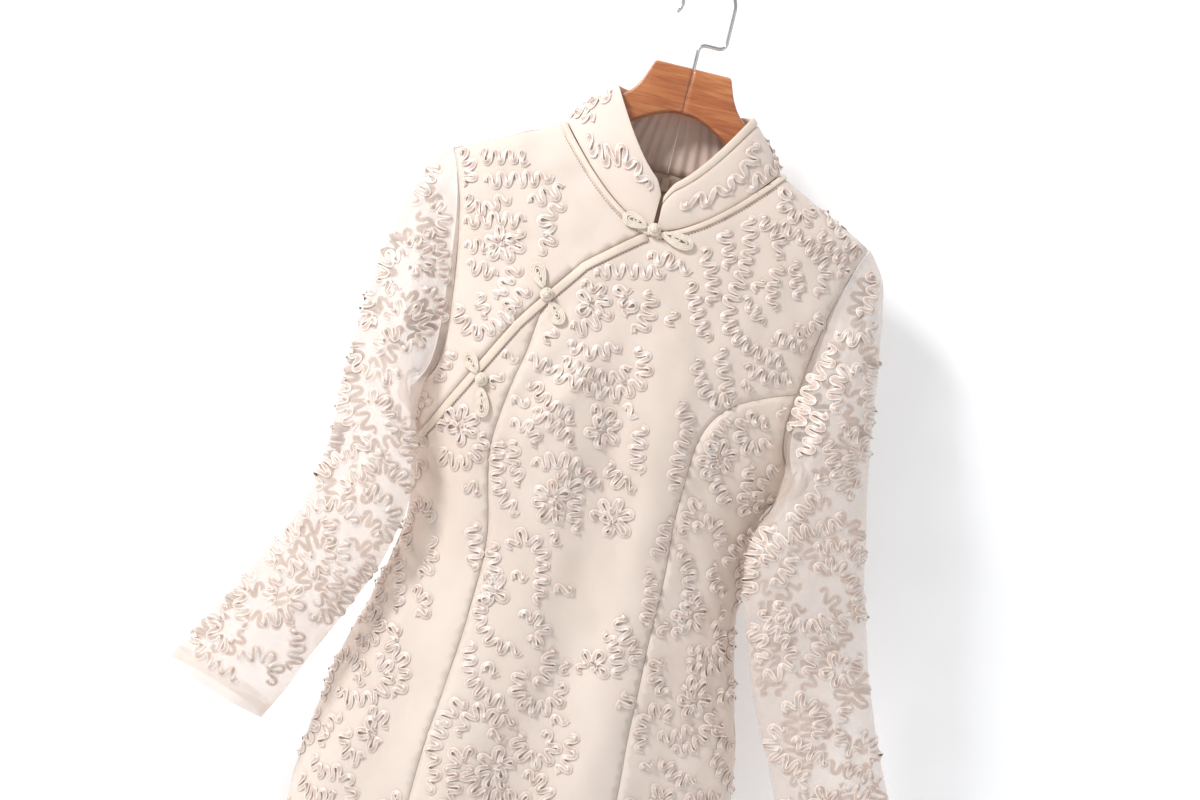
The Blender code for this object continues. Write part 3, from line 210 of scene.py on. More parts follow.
def across(x, z, side):  # distance round the body for a place seen from the front
    ratio = np.clip(x / halfWidth(z), -1.0, 1.0)
    return quarterGirth(z, side) * angleToShare(np.arcsin(ratio))


def foldHeight(side, x, z):
    total = np.zeros(np.shape(x))
    for name, topX, topZ, endX, endZ, width, height in body["folds"]:
        if name != side:
            continue
        part = (topZ - z) / (topZ - endZ)
        fade = smoothStep((part + 0.25) / 0.4)
        if endZ > body["hemZ"] + 1.0:
            fade = fade * smoothStep((1.25 - part) / 0.4)
        away = (x - topX - (endX - topX) * part) / width
        total = total + height * fade * np.exp(-away * away)
    if side == "front":
        for topX, topZ, endX, endZ, width, height in body["creases"]:
            lineX, lineZ = endX - topX, endZ - topZ
            length = math.hypot(lineX, lineZ)
            part = ((x - topX) * lineX + (z - topZ) * lineZ) / (length * length)
            away = ((x - topX) * lineZ - (z - topZ) * lineX) / length
            fade = smoothStep((part + 0.2) / 0.4) * smoothStep((1.2 - part) / 0.4)
            total = total + height * fade * np.exp(-(away / width) ** 2)
    return total


def rumple(u, z, phase=0.0):  # slow unevenness of worn cloth
    total = 0.55 * np.sin(u / 13.0 + z / 31.0 + phase) * np.sin(z / 23.0 - u / 47.0 + 1.3 * phase)
    total = total + 0.35 * np.sin(u / 7.1 - z / 16.0 + 2.0 + phase)
    return total + 0.25 * np.sin(u / 5.3 + z / 9.7 + 4.0 * phase)


def bodyPoint(u, z, side):
    u, z = np.broadcast_arrays(np.asarray(u, dtype=float), np.asarray(z, dtype=float))
    angle = shareToAngle(u / quarterGirth(z, side))
    x = halfWidth(z) * np.sin(angle)
    facing = np.maximum(0.0, np.cos(angle))
    out = depthAt(z, side) * np.cos(angle) + foldHeight(side, x, z) * facing
    return np.stack((x, -out if side == "front" else out, z), axis=-1)


def unit(vectors):
    return vectors / np.maximum(np.linalg.norm(vectors, axis=-1, keepdims=True), 1e-9)


def travelled(points):  # distance along a line at each of its points
    steps = np.linalg.norm(np.diff(points, axis=0), axis=1)
    return np.concatenate(([0.0], np.cumsum(steps)))


def leftOf(ahead):
    return np.stack((-ahead[:, 1], ahead[:, 0]), -1)


def pairs(one, two):  # grids of two values as a list of pairs
    return np.stack(np.broadcast_arrays(one, two), -1).reshape(-1, 2)


def bodyNormal(u, z, side):
    step = 0.8
    along = bodyPoint(u + step, z, side) - bodyPoint(u - step, z, side)
    up = bodyPoint(u, z + step, side) - bodyPoint(u, z - step, side)
    normal = unit(np.cross(along, up))
    middle = np.zeros(normal.shape)
    middle[..., 2] = np.where(z > body["tipZ"] - 8.0, z - 40.0, z)
    inward = np.sum(normal * (bodyPoint(u, z, side) - middle), axis=-1) < 0.0
    return np.where(inward[..., None], -normal, normal)


def onBody(u, z, side, lift, shared=False):  # shared: one normal serves a row of close points
    u, z = np.broadcast_arrays(np.asarray(u, dtype=float), np.asarray(z, dtype=float))
    normal = bodyNormal(u[:, 2:3], z[:, 2:3], side) if shared else bodyNormal(u, z, side)
    lift = np.asarray(lift) + rumple(u, z, 0.0 if side == "front" else 1.7)
    return bodyPoint(u, z, side) + normal * lift[..., None]


def bodyPlace(side):
    return lambda u, z, lift, shared=False: onBody(u, z, side, lift, shared)


# outlines of the cut pieces

def necklineZ(x, side):
    part = np.minimum(1.0, np.abs(x) / body["neckHalf"])
    low, power = (body["frontNeckZ"], 1.6) if side == "front" else (body["backNeckZ"], 2.2)
    return low + (body["neckZ"] - low) * part ** power


def neckline(side, startX, count=30):
    share = np.sin(np.linspace(0.0, 1.0, count + 1) * math.pi / 2.0)
    x = startX + (body["neckHalf"] - startX) * share
    z = necklineZ(x, side)
    return list(zip(across(x, z, side), z))


def shoulderLine(side, count=14):
    z = np.linspace(body["neckZ"], body["tipZ"], count + 1)[1:]
    return list(zip(quarterGirth(z, side), z))


def armholeX(z, side):
    return np.minimum(smoothColumn(body["armhole"], z, 1 if side == "front" else 2), halfWidth(z))


def armholeLine(side, above=-1000.0, below=0.0):
    angle = np.linspace(0.06, math.pi - 0.06, 40)
    middle = (body["tipZ"] + body["armpitZ"]) / 2.0
    z = middle + (body["tipZ"] - middle) * np.cos(angle)
    z = z[(z > above) & (z < below)]
    return list(zip(across(armholeX(z, side), z, side), z))


def downTo(top, bottom=None, step=7.0):
    bottom = body["hemZ"] if bottom is None else bottom
    return np.linspace(top, bottom, max(2, round((top - bottom) / step)))


def sideSeam(side, top):
    z = downTo(top)
    return list(zip(quarterGirth(z, side), z))


def seamLine(rows, side):
    z = downTo(rows[0][0] - 0.05)
    x = smoothColumn(rows, z, 1)
    return list(zip(across(x, z, side), z))


def openingLine():
    x = np.array([row[0] for row in opening["line"]], dtype=float)
    z = np.array([row[1] for row in opening["line"]], dtype=float)
    points = list(zip(across(x, z, "front"), z))
    points.append((-float(quarterGirth(opening["endZ"], "front")), opening["endZ"]))
    fine = [points[0]]
    for start, end in zip(points, points[1:]):
        count = max(1, round(math.dist(start, end) / 5.0))
        for step in range(1, count + 1):
            fine.append(tuple(a + (b - a) * step / count for a, b in zip(start, end)))
    return fine


def hemLine(startU, endU, step=7.0):
    count = max(2, round(abs(endU - startU) / step))
    return [(u, body["hemZ"]) for u in np.linspace(startU, endU, count + 1)[1:-1]]


def loopArea(loop):
    u, z = loop[:, 0], loop[:, 1]
    return float(np.sum(u * np.roll(z, -1) - np.roll(u, -1) * z) / 2.0)


def cleanLoop(points):
    kept = []
    for point in points:
        point = (float(point[0]), float(point[1]))
        if not kept or math.dist(point, kept[-1]) > 0.8:
            kept.append(point)
    if math.dist(kept[0], kept[-1]) < 0.8:
        kept.pop()
    loop = np.array(kept)
    return loop if loopArea(loop) > 0 else loop[::-1].copy()


def inset(loop, amount):
    before = unit(loop - np.roll(loop, 1, axis=0))
    after = unit(np.roll(loop, -1, axis=0) - loop)
    normal = unit(np.stack((-(before[:, 1] + after[:, 1]), before[:, 0] + after[:, 0]), axis=-1))
    stretch = np.maximum(0.35, np.sum(normal * np.stack((-before[:, 1], before[:, 0]), -1), -1))
    return loop + normal * (amount / stretch)[:, None]


def edgeDistance(points, loop, closed=True):
    start = loop
    end = np.roll(loop, -1, axis=0)
    if not closed:
        start, end = loop[:-1], loop[1:]
    line = end - start
    length = np.maximum(np.sum(line * line, axis=-1), 1e-9)
    result = np.empty(len(points))
    for first in range(0, len(points), 4000):
        some = points[first:first + 4000, None, :] - start[None]
        part = np.clip(np.sum(some * line[None], axis=-1) / length, 0.0, 1.0)
        gap = some - line[None] * part[..., None]
        result[first:first + 4000] = np.sqrt(np.min(np.sum(gap * gap, axis=-1), axis=-1))
    return result


def insideLoop(points, loop):
    result = np.zeros(len(points), dtype=bool)
    for (au, az), (bu, bz) in zip(loop, np.roll(loop, -1, axis=0)):
        if az == bz:
            continue
        crosses = (az > points[:, 1]) != (bz > points[:, 1])
        cut = au + (points[:, 1] - az) * (bu - au) / (bz - az)
        result ^= crosses & (points[:, 0] < cut)
    return result


# mesh making

def meshObject(name, verts, faces, material, smooth=True):
    mesh = bpy.data.meshes.new(name)
    mesh.from_pydata((np.asarray(verts) * mm).tolist(), [], faces)
    mesh.validate()
    item = bpy.data.objects.new(name, mesh)
    bpy.context.scene.collection.objects.link(item)
    item.data.materials.append(material)
    mesh.polygons.foreach_set("use_smooth", [smooth] * len(mesh.polygons))
    return item


def setUv(item, values):  # one pair for each vertex
    layer = item.data.uv_layers.new(name="cloth")
    index = np.empty(len(item.data.loops), dtype=int)
    item.data.loops.foreach_get("vertex_index", index)
    layer.data.foreach_set("uv", np.asarray(values, dtype=float)[index].ravel())


def pickOnly(item):
    bpy.ops.object.select_all(action="DESELECT")
    item.select_set(True)
    bpy.context.view_layer.objects.active = item


def applyModifier(item, kind, **settings):
    modifier = item.modifiers.new(kind.lower(), kind)
    for key, value in settings.items():
        setattr(modifier, key, value)
    pickOnly(item)
    bpy.ops.object.modifier_apply(modifier=modifier.name)


def faceOut(item):
    pickOnly(item)
    bpy.ops.object.mode_set(mode="EDIT")
    bpy.ops.mesh.select_all(action="SELECT")
    bpy.ops.mesh.normals_make_consistent(inside=False)
    bpy.ops.object.mode_set(mode="OBJECT")


def gridFaces(rows, columns, closed=False):  # faces of a grid of points, row by row
    faces = []
    last = columns if closed else columns - 1
    for row in range(rows - 1):
        for column in range(last):
            a = row * columns + column
            b = row * columns + (column + 1) % columns
            faces.append((a, b, b + columns, a + columns))
    return faces


def panelCloth(name, points, place, cut, material):
    loop = inset(cleanLoop(points), cut["seamGap"])
    step = cut["step"]
    low, high = loop.min(axis=0), loop.max(axis=0)
    spots = []
    for index, z in enumerate(np.arange(low[1], high[1], step * 0.87)):
        shift = 0.5 * step * (index % 2)
        spots.append(np.stack((u := np.arange(low[0] + shift, high[0], step), np.full(len(u), z)), -1))
    spots = np.concatenate(spots)
    spots = spots[insideLoop(spots, loop)]
    spots = spots[edgeDistance(spots, loop) > step * 0.45]
    everything = np.concatenate((loop, spots))
    ring = list(range(len(loop)))
    flat, _, faces, _, _, _ = delaunay_2d_cdt([Vector(p) for p in everything], [], [ring], 1, 0.001)
    flat = np.array([tuple(p) for p in flat])
    dip = cut["seamDip"] * np.exp(-(edgeDistance(flat, loop) / cut["seamWidth"]) ** 2)
    verts = place(flat[:, 0], flat[:, 1], -dip)
    faces = [tuple(face) for face in faces]
    normal = np.cross(verts[faces[0][1]] - verts[faces[0][0]], verts[faces[0][2]] - verts[faces[0][0]])
    centre = flat[list(faces[0])].mean(axis=0)
    away = place(centre[:1], centre[1:], 1.0) - place(centre[:1], centre[1:], 0.0)
    if np.sum(normal * away[0]) < 0.0:
        faces = [face[::-1] for face in faces]
    item = meshObject(name, verts, faces, material)
    setUv(item, flat * mm)
    applyModifier(item, "SOLIDIFY", thickness=cut["thick"] * mm, offset=-1.0)
    size = (float(high[0] - low[0]) * mm, float(high[1] - low[1]) * mm)
    return item, loop, size, loopArea(loop) * mm * mm


def frames(points):  # two directions across a curve, without twist
    along = unit(np.gradient(points, axis=0))
    side = np.cross(along[0], (0.3, 1.0, 0.2))
    side = side / np.linalg.norm(side)
    sides = [side]
    for direction in along[1:]:
        side = sides[-1] - direction * np.dot(sides[-1], direction)
        sides.append(side / np.linalg.norm(side))
    sides = np.array(sides)
    return sides, np.cross(along, sides)


def tubeParts(points, radius, sides=10, closed=False):
    points = np.asarray(points, dtype=float)
    one, two = frames(points)
    if closed:  # the turn of the frame is spread so that the ends meet
        turn = np.arctan2(np.dot(one[-1], two[0]), np.dot(one[-1], one[0]))
        spread = -turn * np.linspace(0.0, 1.0, len(points))
        one, two = (
            one * np.cos(spread)[:, None] + two * np.sin(spread)[:, None],
            two * np.cos(spread)[:, None] - one * np.sin(spread)[:, None],
        )
    turns = np.arange(sides) * 2.0 * math.pi / sides
    radius = np.broadcast_to(radius, len(points))
    ring = one[:, None] * np.cos(turns)[None, :, None] + two[:, None] * np.sin(turns)[None, :, None]
    verts = (points[:, None] + ring * radius[:, None, None]).reshape(-1, 3)
    faces = gridFaces(len(points), sides, True)
    length = travelled(points)
    uv = pairs(length[:, None], turns[None] / (2 * math.pi))
    if closed:
        last = (len(points) - 1) * sides
        faces += [(last + i, last + (i + 1) % sides, (i + 1) % sides, i) for i in range(sides)]
    else:
        faces.append(tuple(range(sides))[::-1])
        faces.append(tuple(range((len(points) - 1) * sides, len(points) * sides)))
    return verts, faces, uv


def joinParts(parts):
    verts, faces, uvs, base = [], [], [], 0
    for some, polygons, uv in parts:
        verts.append(some)
        faces += [tuple(base + i for i in face) for face in polygons]
        uvs.append(uv)
        base += len(some)
    return np.concatenate(verts), faces, np.concatenate(uvs)


def bandCloth(name, one, two, place, low, high, material, corners=12):
    # folded strip between two rails, rounded over its edges
    one, two = np.asarray(one, dtype=float), np.asarray(two, dtype=float)
    rows = []
    for index in range(corners):
        turn = 2.0 * math.pi * index / corners
        part = 0.5 + 0.5 * np.sign(math.cos(turn)) * abs(math.cos(turn)) ** 0.6
        rise = np.sign(math.sin(turn)) * abs(math.sin(turn)) ** 0.8
        lift = (low + high) / 2.0 + (high - low) / 2.0 * rise
        spot = one + (two - one) * part
        rows.append(place(spot[:, 0], spot[:, 1], np.full(len(spot), lift)))
    verts = np.stack(rows, axis=1).reshape(-1, 3)
    faces = gridFaces(len(one), corners, True)
    faces.append(tuple(range(corners)))
    faces.append(tuple(range((len(one) - 1) * corners, len(one) * corners)))
    item = meshObject(name, verts, faces, material)
    length = travelled(one)
    setUv(item, pairs(length[:, None] * mm, (np.arange(corners) / corners)[None]))
    faceOut(item)
    return item


def stitchRow(name, line, place, lift, thread, material):
    # running stitches laid along a line of cloth coordinates
    line = np.asarray(line, dtype=float)
    length = travelled(line)
    starts = np.arange(1.0, length[-1] - thread["long"], thread["pitch"])
    parts = []
    for start in starts:
        at = start + np.array([0.0, 0.25, 0.75, 1.0]) * thread["long"]
        u, z = np.interp(at, length, line[:, 0]), np.interp(at, length, line[:, 1])
        rise = lift + np.array([-0.25, 0.15, 0.15, -0.25])
        parts.append(tubeParts(place(u, z, rise), thread["thick"] * np.array([0.6, 1.0, 1.0, 0.6]), 5))
    item = meshObject(name, *joinParts(parts)[:2], material)
    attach(item, "dress")
    return item


# materials: effects that several finishes share are node groups

def newGroup(name, inputs, outputs):
    group = bpy.data.node_groups.new(name, "ShaderNodeTree")
    for label, value in inputs:
        kind = "NodeSocketColor" if isinstance(value, tuple) else "NodeSocketFloat"
        socket = group.interface.new_socket(label, in_out="INPUT", socket_type=kind)
        socket.default_value = value
    for label, kind in outputs:
        group.interface.new_socket(label, in_out="OUTPUT", socket_type=kind)
    enter = group.nodes.new("NodeGroupInput")
    leave = group.nodes.new("NodeGroupOutput")
    return group, enter.outputs, leave.inputs


def addNode(tree, kind, links=(), **settings):
    node = tree.nodes.new(kind)
    for key, value in settings.items():
        setattr(node, key, value)
    for socket, value in dict(links).items():
        if isinstance(value, bpy.types.NodeSocket):
            tree.links.new(value, node.inputs[socket])
        else:
            node.inputs[socket].default_value = value
    return node


def mathNode(tree, operation, *values):
    return addNode(tree, "ShaderNodeMath", dict(enumerate(values)), operation=operation).outputs[0]


def mixColour(tree, factor, one, two):
    return addNode(tree, "ShaderNodeMix", {0: factor, 6: one, 7: two}, data_type="RGBA").outputs[2]


def stretched(tree, vector, scale):
    return addNode(tree, "ShaderNodeMapping", {"Vector": vector, "Scale": scale}).outputs[0]


def spread(tree, value, low, high, toLow, toHigh):
    node = addNode(tree, "ShaderNodeMapRange", {0: value, 1: low, 2: high, 3: toLow, 4: toHigh})
    return node.outputs[0]


def makeWeaveGroup():  # crossing threads, from the piece's own cloth coordinates
    group, enter, leave = newGroup(
        "threadWeave", (("Pitch", 0.0006), ("Slub", 0.5)),
        (("Height", "NodeSocketFloat"), ("Tone", "NodeSocketFloat")),
    )
    uv = addNode(group, "ShaderNodeUVMap").outputs[0]
    parts = addNode(group, "ShaderNodeSeparateXYZ", {0: uv})
    turns = mathNode(group, "DIVIDE", 2.0 * math.pi, enter["Pitch"])
    warp = mathNode(group, "SINE", mathNode(group, "MULTIPLY", parts.outputs[0], turns))
    weft = mathNode(group, "SINE", mathNode(group, "MULTIPLY", parts.outputs[1], turns))
    crossing = mathNode(group, "MULTIPLY", warp, weft)
    slub = addNode(group, "ShaderNodeTexNoise", {"Vector": uv, "Scale": 900.0, "Detail": 3.0}).outputs[0]
    slow = addNode(group, "ShaderNodeTexNoise", {"Vector": uv, "Scale": 60.0, "Detail": 4.0}).outputs[0]
    uneven = mathNode(group, "MULTIPLY", slub, enter["Slub"])
    group.links.new(mathNode(group, "MULTIPLY_ADD", crossing, 0.25, uneven), leave["Height"])
    group.links.new(mathNode(group, "MULTIPLY_ADD", slow, 0.6, mathNode(group, "MULTIPLY", slub, 0.4)),
                    leave["Tone"])
    return group


def makeWearGroup():  # soft patches of tone over a whole piece
    group, enter, leave = newGroup(
        "softPatches", (("Scale", 12.0), ("Detail", 3.0)), (("Mask", "NodeSocketFloat"),),
    )
    place = addNode(group, "ShaderNodeTexCoord").outputs["Object"]
    noise = addNode(group, "ShaderNodeTexNoise", {
        "Vector": place, "Scale": enter["Scale"], "Detail": enter["Detail"],
    }).outputs[0]
    group.links.new(spread(group, noise, 0.3, 0.7, 0.0, 1.0), leave["Mask"])
    return group


weaveGroup = makeWeaveGroup()
patchGroup = makeWearGroup()


def startMaterial(name, roughness, **plain):
    material = bpy.data.materials.new(name)
    material.use_nodes = True
    shader = material.node_tree.nodes["Principled BSDF"]
    shader.inputs["Roughness"].default_value = roughness
    for label, value in plain.items():
        shader.inputs[label.replace("_", " ")].default_value = value
    return material, material.node_tree, shader


def useBump(tree, shader, height, strength, distance):
    bump = addNode(tree, "ShaderNodeBump", {"Strength": strength, "Distance": distance, "Height": height})
    tree.links.new(bump.outputs[0], shader.inputs["Normal"])


def clothMaterial(name, light, shade, finish):
    material, tree, shader = startMaterial(
        name, finish["rough"], Sheen_Weight=finish["sheen"], Sheen_Roughness=0.4,
        Specular_IOR_Level=0.35, Subsurface_Weight=finish.get("glow", 0.0),
        Subsurface_Radius=(0.004, 0.0025, 0.0018), Subsurface_Scale=0.6,
    )
    weave = addNode(tree, "ShaderNodeGroup", node_tree=weaveGroup)
    weave.inputs["Pitch"].default_value = finish["pitch"]
    weave.inputs["Slub"].default_value = finish["slub"]
    patches = addNode(tree, "ShaderNodeGroup", node_tree=patchGroup)
    patches.inputs["Scale"].default_value = finish["patch"]
    tone = mathNode(tree, "MULTIPLY_ADD", patches.outputs[0], 0.5,
                    mathNode(tree, "MULTIPLY", weave.outputs["Tone"], 0.5))
    colour = mixColour(tree, spread(tree, tone, 0.2, 0.8, 0.0, 1.0), shade + (1.0,), light + (1.0,))
    tree.links.new(colour, shader.inputs["Base Color"])
    rough = spread(tree, weave.outputs["Tone"], 0.3, 0.7, finish["rough"] - 0.06, finish["rough"] + 0.06)
    tree.links.new(rough, shader.inputs["Roughness"])
    useBump(tree, shader, weave.outputs["Height"], finish["bump"], 0.0003)
    return material


def ribbonMaterial(name, light, deep, rim):
    # rim is a colour painted along both long edges as a highlight; deep darkens the face as painted shade,
    # mixed with light in random patches of tone
    material, tree, shader = startMaterial(
        name, 0.3, Sheen_Weight=0.25, Sheen_Roughness=0.3, Specular_IOR_Level=0.85,
        Subsurface_Weight=0.12, Subsurface_Radius=(0.004, 0.002, 0.0015), Subsurface_Scale=0.5,
    )
    uv = addNode(tree, "ShaderNodeUVMap").outputs[0]
    parts = addNode(tree, "ShaderNodeSeparateXYZ", {0: uv})
    middle = mathNode(tree, "SUBTRACT", parts.outputs[1], 0.5)
    off = mathNode(tree, "MULTIPLY", mathNode(tree, "ABSOLUTE", middle), 2.0)
    edge = spread(tree, off, 0.5, 0.74, 0.0, 1.0)
    patches = addNode(tree, "ShaderNodeGroup", node_tree=patchGroup)
    patches.inputs["Scale"].default_value = 95.0
    patches.inputs["Detail"].default_value = 2.0
    # random patches of tone between the face colours, the deep one darkened as painted shade
    face = mixColour(tree, patches.outputs[0], deep + (1.0,), light + (1.0,))
    # painted highlight: the rim colour laid over the edge mask
    colour = mixColour(tree, mathNode(tree, "MULTIPLY", edge, 0.92), face, rim + (1.0,))
    tree.links.new(colour, shader.inputs["Base Color"])
    grain = addNode(tree, "ShaderNodeTexNoise", {
        "Vector": stretched(tree, uv, (60.0, 9.0, 1.0)),
        "Scale": 14.0, "Detail": 2.0,
    }).outputs[0]
    duller = mathNode(tree, "ADD", mathNode(tree, "MULTIPLY", edge, 0.3), grain)
    rough = spread(tree, duller, 0.3, 1.0, 0.2, 0.44)
    tree.links.new(rough, shader.inputs["Roughness"])
    cord = mathNode(tree, "MULTIPLY_ADD", edge, 0.8, mathNode(tree, "MULTIPLY", grain, 0.35))
    useBump(tree, shader, cord, 0.5, 0.0004)
    return material


def sheerMaterial(name, colour, thin, thick):
    material, tree, shader = startMaterial(name, 0.5, Sheen_Weight=0.3, Sheen_Roughness=0.4)
    weave = addNode(tree, "ShaderNodeGroup", node_tree=weaveGroup)
    weave.inputs["Pitch"].default_value = 0.0012
    patches = addNode(tree, "ShaderNodeGroup", node_tree=patchGroup)
    patches.inputs["Scale"].default_value = 26.0
    tint = mixColour(tree, patches.outputs[0], tuple(c * 0.95 for c in colour) + (1.0,), colour + (1.0,))
    tree.links.new(tint, shader.inputs["Base Color"])
    mesh = mathNode(tree, "MULTIPLY_ADD", weave.outputs["Tone"], 0.5,
                    mathNode(tree, "MULTIPLY", patches.outputs[0], 0.5))
    tree.links.new(spread(tree, mesh, 0.25, 0.75, thin, thick), shader.inputs["Alpha"])
    useBump(tree, shader, weave.outputs["Height"], 0.3, 0.0002)
    return material


def cordMaterial(name, light, shade):
    material, tree, shader = startMaterial(name, 0.5, Sheen_Weight=0.25, Sheen_Roughness=0.35)
    uv = addNode(tree, "ShaderNodeUVMap").outputs[0]
    parts = addNode(tree, "ShaderNodeSeparateXYZ", {0: uv})
    twist = mathNode(tree, "MULTIPLY_ADD", parts.outputs[0], 5200.0,
                     mathNode(tree, "MULTIPLY", parts.outputs[1], 4.0 * math.pi))
    # ply twist: raises the bump and, in colour, darkens the grooves between plies as painted shade
    ply = mathNode(tree, "SINE", twist)
    patches = addNode(tree, "ShaderNodeGroup", node_tree=patchGroup)
    patches.inputs["Scale"].default_value = 240.0
    # random patches of tone plus painted shade in the ply grooves
    tone = mathNode(tree, "MULTIPLY_ADD", ply, 0.2, spread(tree, patches.outputs[0], 0.0, 1.0, 0.35, 0.9))
    tree.links.new(mixColour(tree, tone, shade + (1.0,), light + (1.0,)), shader.inputs["Base Color"])
    useBump(tree, shader, ply, 0.35, 0.0003)
    return material


def woodMaterial(name, dark, mid, light):
    material, tree, shader = startMaterial(name, 0.32, Coat_Weight=0.7, Coat_Roughness=0.12)
    place = addNode(tree, "ShaderNodeTexCoord").outputs["Object"]
    along = stretched(tree, place, (5.0, 60.0, 60.0))
    grain = addNode(tree, "ShaderNodeTexNoise", {
        "Vector": along, "Scale": 3.2, "Detail": 7.0, "Distortion": 0.9,
    }).outputs[0]
    fine = addNode(tree, "ShaderNodeTexNoise", {
        "Vector": stretched(tree, place, (30.0, 700.0, 700.0)),
        "Scale": 2.0, "Detail": 3.0,
    }).outputs[0]
    streaks = mathNode(tree, "MULTIPLY_ADD", fine, 0.25, mathNode(tree, "MULTIPLY", grain, 0.85))
    ramp = addNode(tree, "ShaderNodeValToRGB", {0: streaks})
    ramp.color_ramp.elements[0].position = 0.36
    ramp.color_ramp.elements[0].color = dark + (1.0,)
    ramp.color_ramp.elements[1].position = 0.72
    ramp.color_ramp.elements[1].color = light + (1.0,)
    middle = ramp.color_ramp.elements.new(0.52)
    middle.color = mid + (1.0,)
    patches = addNode(tree, "ShaderNodeGroup", node_tree=patchGroup)
    patches.inputs["Scale"].default_value = 9.0
    amount = mathNode(tree, "MULTIPLY", patches.outputs[0], 0.35)
    rubbed = mixColour(tree, amount, ramp.outputs[0], light + (1.0,))
    tree.links.new(rubbed, shader.inputs["Base Color"])
    tree.links.new(spread(tree, fine, 0.3, 0.7, 0.26, 0.4), shader.inputs["Roughness"])
    useBump(tree, shader, fine, 0.12, 0.0002)
    return material


def metalMaterial(name, colour, metallic, rough):
    material, tree, shader = startMaterial(name, rough, Metallic=metallic)
    place = addNode(tree, "ShaderNodeTexCoord").outputs["Object"]
    scratch = addNode(tree, "ShaderNodeTexNoise", {
        "Vector": stretched(tree, place, (900.0, 900.0, 120.0)),
        "Scale": 1.5, "Detail": 4.0,
    }).outputs[0]
    tree.links.new(spread(tree, scratch, 0.3, 0.7, rough * 0.7, rough * 1.5), shader.inputs["Roughness"])
    worn = mixColour(tree, spread(tree, scratch, 0.35, 0.65, 0.0, 1.0),
                     tuple(c * 0.88 for c in colour) + (1.0,), colour + (1.0,))
    tree.links.new(worn, shader.inputs["Base Color"])
    useBump(tree, shader, scratch, 0.08, 0.0001)
    return material


finishes = {
    "crepe": clothMaterial("creamCrepe", (0.91, 0.775, 0.685), (0.83, 0.69, 0.595), {
        "rough": 0.55, "sheen": 0.35, "pitch": 0.0005, "slub": 0.9, "patch": 9.0, "bump": 0.35, "glow": 0.1}),
    "binding": clothMaterial("creamBinding", (0.90, 0.77, 0.65), (0.83, 0.69, 0.57), {
        "rough": 0.42, "sheen": 0.3, "pitch": 0.0006, "slub": 0.6, "patch": 20.0, "bump": 0.3}),
    "lining": clothMaterial("blushLining", (0.80, 0.63, 0.54), (0.70, 0.53, 0.45), {
        "rough": 0.5, "sheen": 0.4, "pitch": 0.0005, "slub": 0.8, "patch": 30.0, "bump": 0.3}),
    "tape": clothMaterial("beigeTape", (0.74, 0.60, 0.48), (0.64, 0.50, 0.39), {
        "rough": 0.75, "sheen": 0.2, "pitch": 0.0011, "slub": 0.4, "patch": 40.0, "bump": 0.7}),
    # ribbon: the second colour is darkened as painted shade of the face, the last is the painted highlight
    # along the rims
    "ribbon": ribbonMaterial("satinRibbonPaintedRim", (0.92, 0.77, 0.69), (0.68, 0.50, 0.41), (1.0, 0.90, 0.82)),
    "sheer": sheerMaterial("sheerNet", (0.96, 0.82, 0.73), 0.32, 0.48),
    "sheerHem": sheerMaterial("sheerHem", (0.93, 0.79, 0.69), 0.6, 0.8),
    "cord": cordMaterial("ivoryCord", (0.97, 0.88, 0.77), (0.80, 0.67, 0.54)),
    "thread": clothMaterial("shadeThread", (0.46, 0.33, 0.26), (0.36, 0.25, 0.19), {
        "rough": 0.6, "sheen": 0.2, "pitch": 0.0004, "slub": 0.5, "patch": 50.0, "bump": 0.2}),
    "wood": woodMaterial("lacqueredWood", (0.30, 0.065, 0.018), (0.47, 0.14, 0.042), (0.63, 0.25, 0.09)),
    "chrome": metalMaterial("chromeWire", (0.72, 0.71, 0.70), 1.0, 0.14),
    "enamel": metalMaterial("beigeEnamel", (0.72, 0.56, 0.42), 0.3, 0.36),
}
print("finishes made")


def wear(item, node):  # rides on the dress in place of a solid of the frame
    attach(item, "dress")
    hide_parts(node)
    return item


# body panels

panelCut = {"seamGap": 0.16, "step": 6.2, "seamDip": 0.9, "seamWidth": 1.8, "thick": 0.8}
# z limits of the zip's gap, and half its width beside the slider, beside the teeth and below
zipGap = {"end": -655.0, "top": -188.0, "slider": 4.2, "teeth": 1.9, "below": 0.1}


def frontPieces():
    leftDown = seamLine(leftPrincess, "front")
    rightDown = seamLine(rightPrincess, "front")
    rightTop = rightPrincess[0][0]
    line = openingLine()
    cross = min(range(len(line)), key=lambda i: abs(line[i][1] - leftPrincess[0][0]))
    leftDown[0] = line[cross]
    rightDown[0] = (float(across(armholeX(rightTop, "front"), rightTop, "front")), rightTop)
    edge = float(quarterGirth(body["hemZ"], "front"))
    leftU, rightU = leftDown[-1][0], rightDown[-1][0]
    neck = neckline("front", 0.0)
    main = (
        neck + shoulderLine("front") + armholeLine("front", rightTop + 2.0) + rightDown
        + hemLine(rightU, leftU) + leftDown[::-1] + line[:cross][::-1]
    )
    rightSide = (
        rightDown[:1] + armholeLine("front", -1000.0, rightTop - 2.0)
        + sideSeam("front", body["armpitZ"]) + hemLine(edge, rightU) + rightDown[::-1][:-1]
    )
    leftSide = (
        line[cross:] + [(-u, z) for u, z in sideSeam("front", opening["endZ"])][1:]
        + hemLine(-edge, leftU) + leftDown[::-1][:-1]
    )
    under = neck + shoulderLine("front") + armholeLine("front") + sideSeam("front", body["armpitZ"])
    under = [(-u, z) for u, z in under if z > opening["endZ"] + 1.0][1:] + line[::-1]
    return {
        "front_main": main, "side_front_right": rightSide, "side_front_left": leftSide,
        "front_under": under,
    }


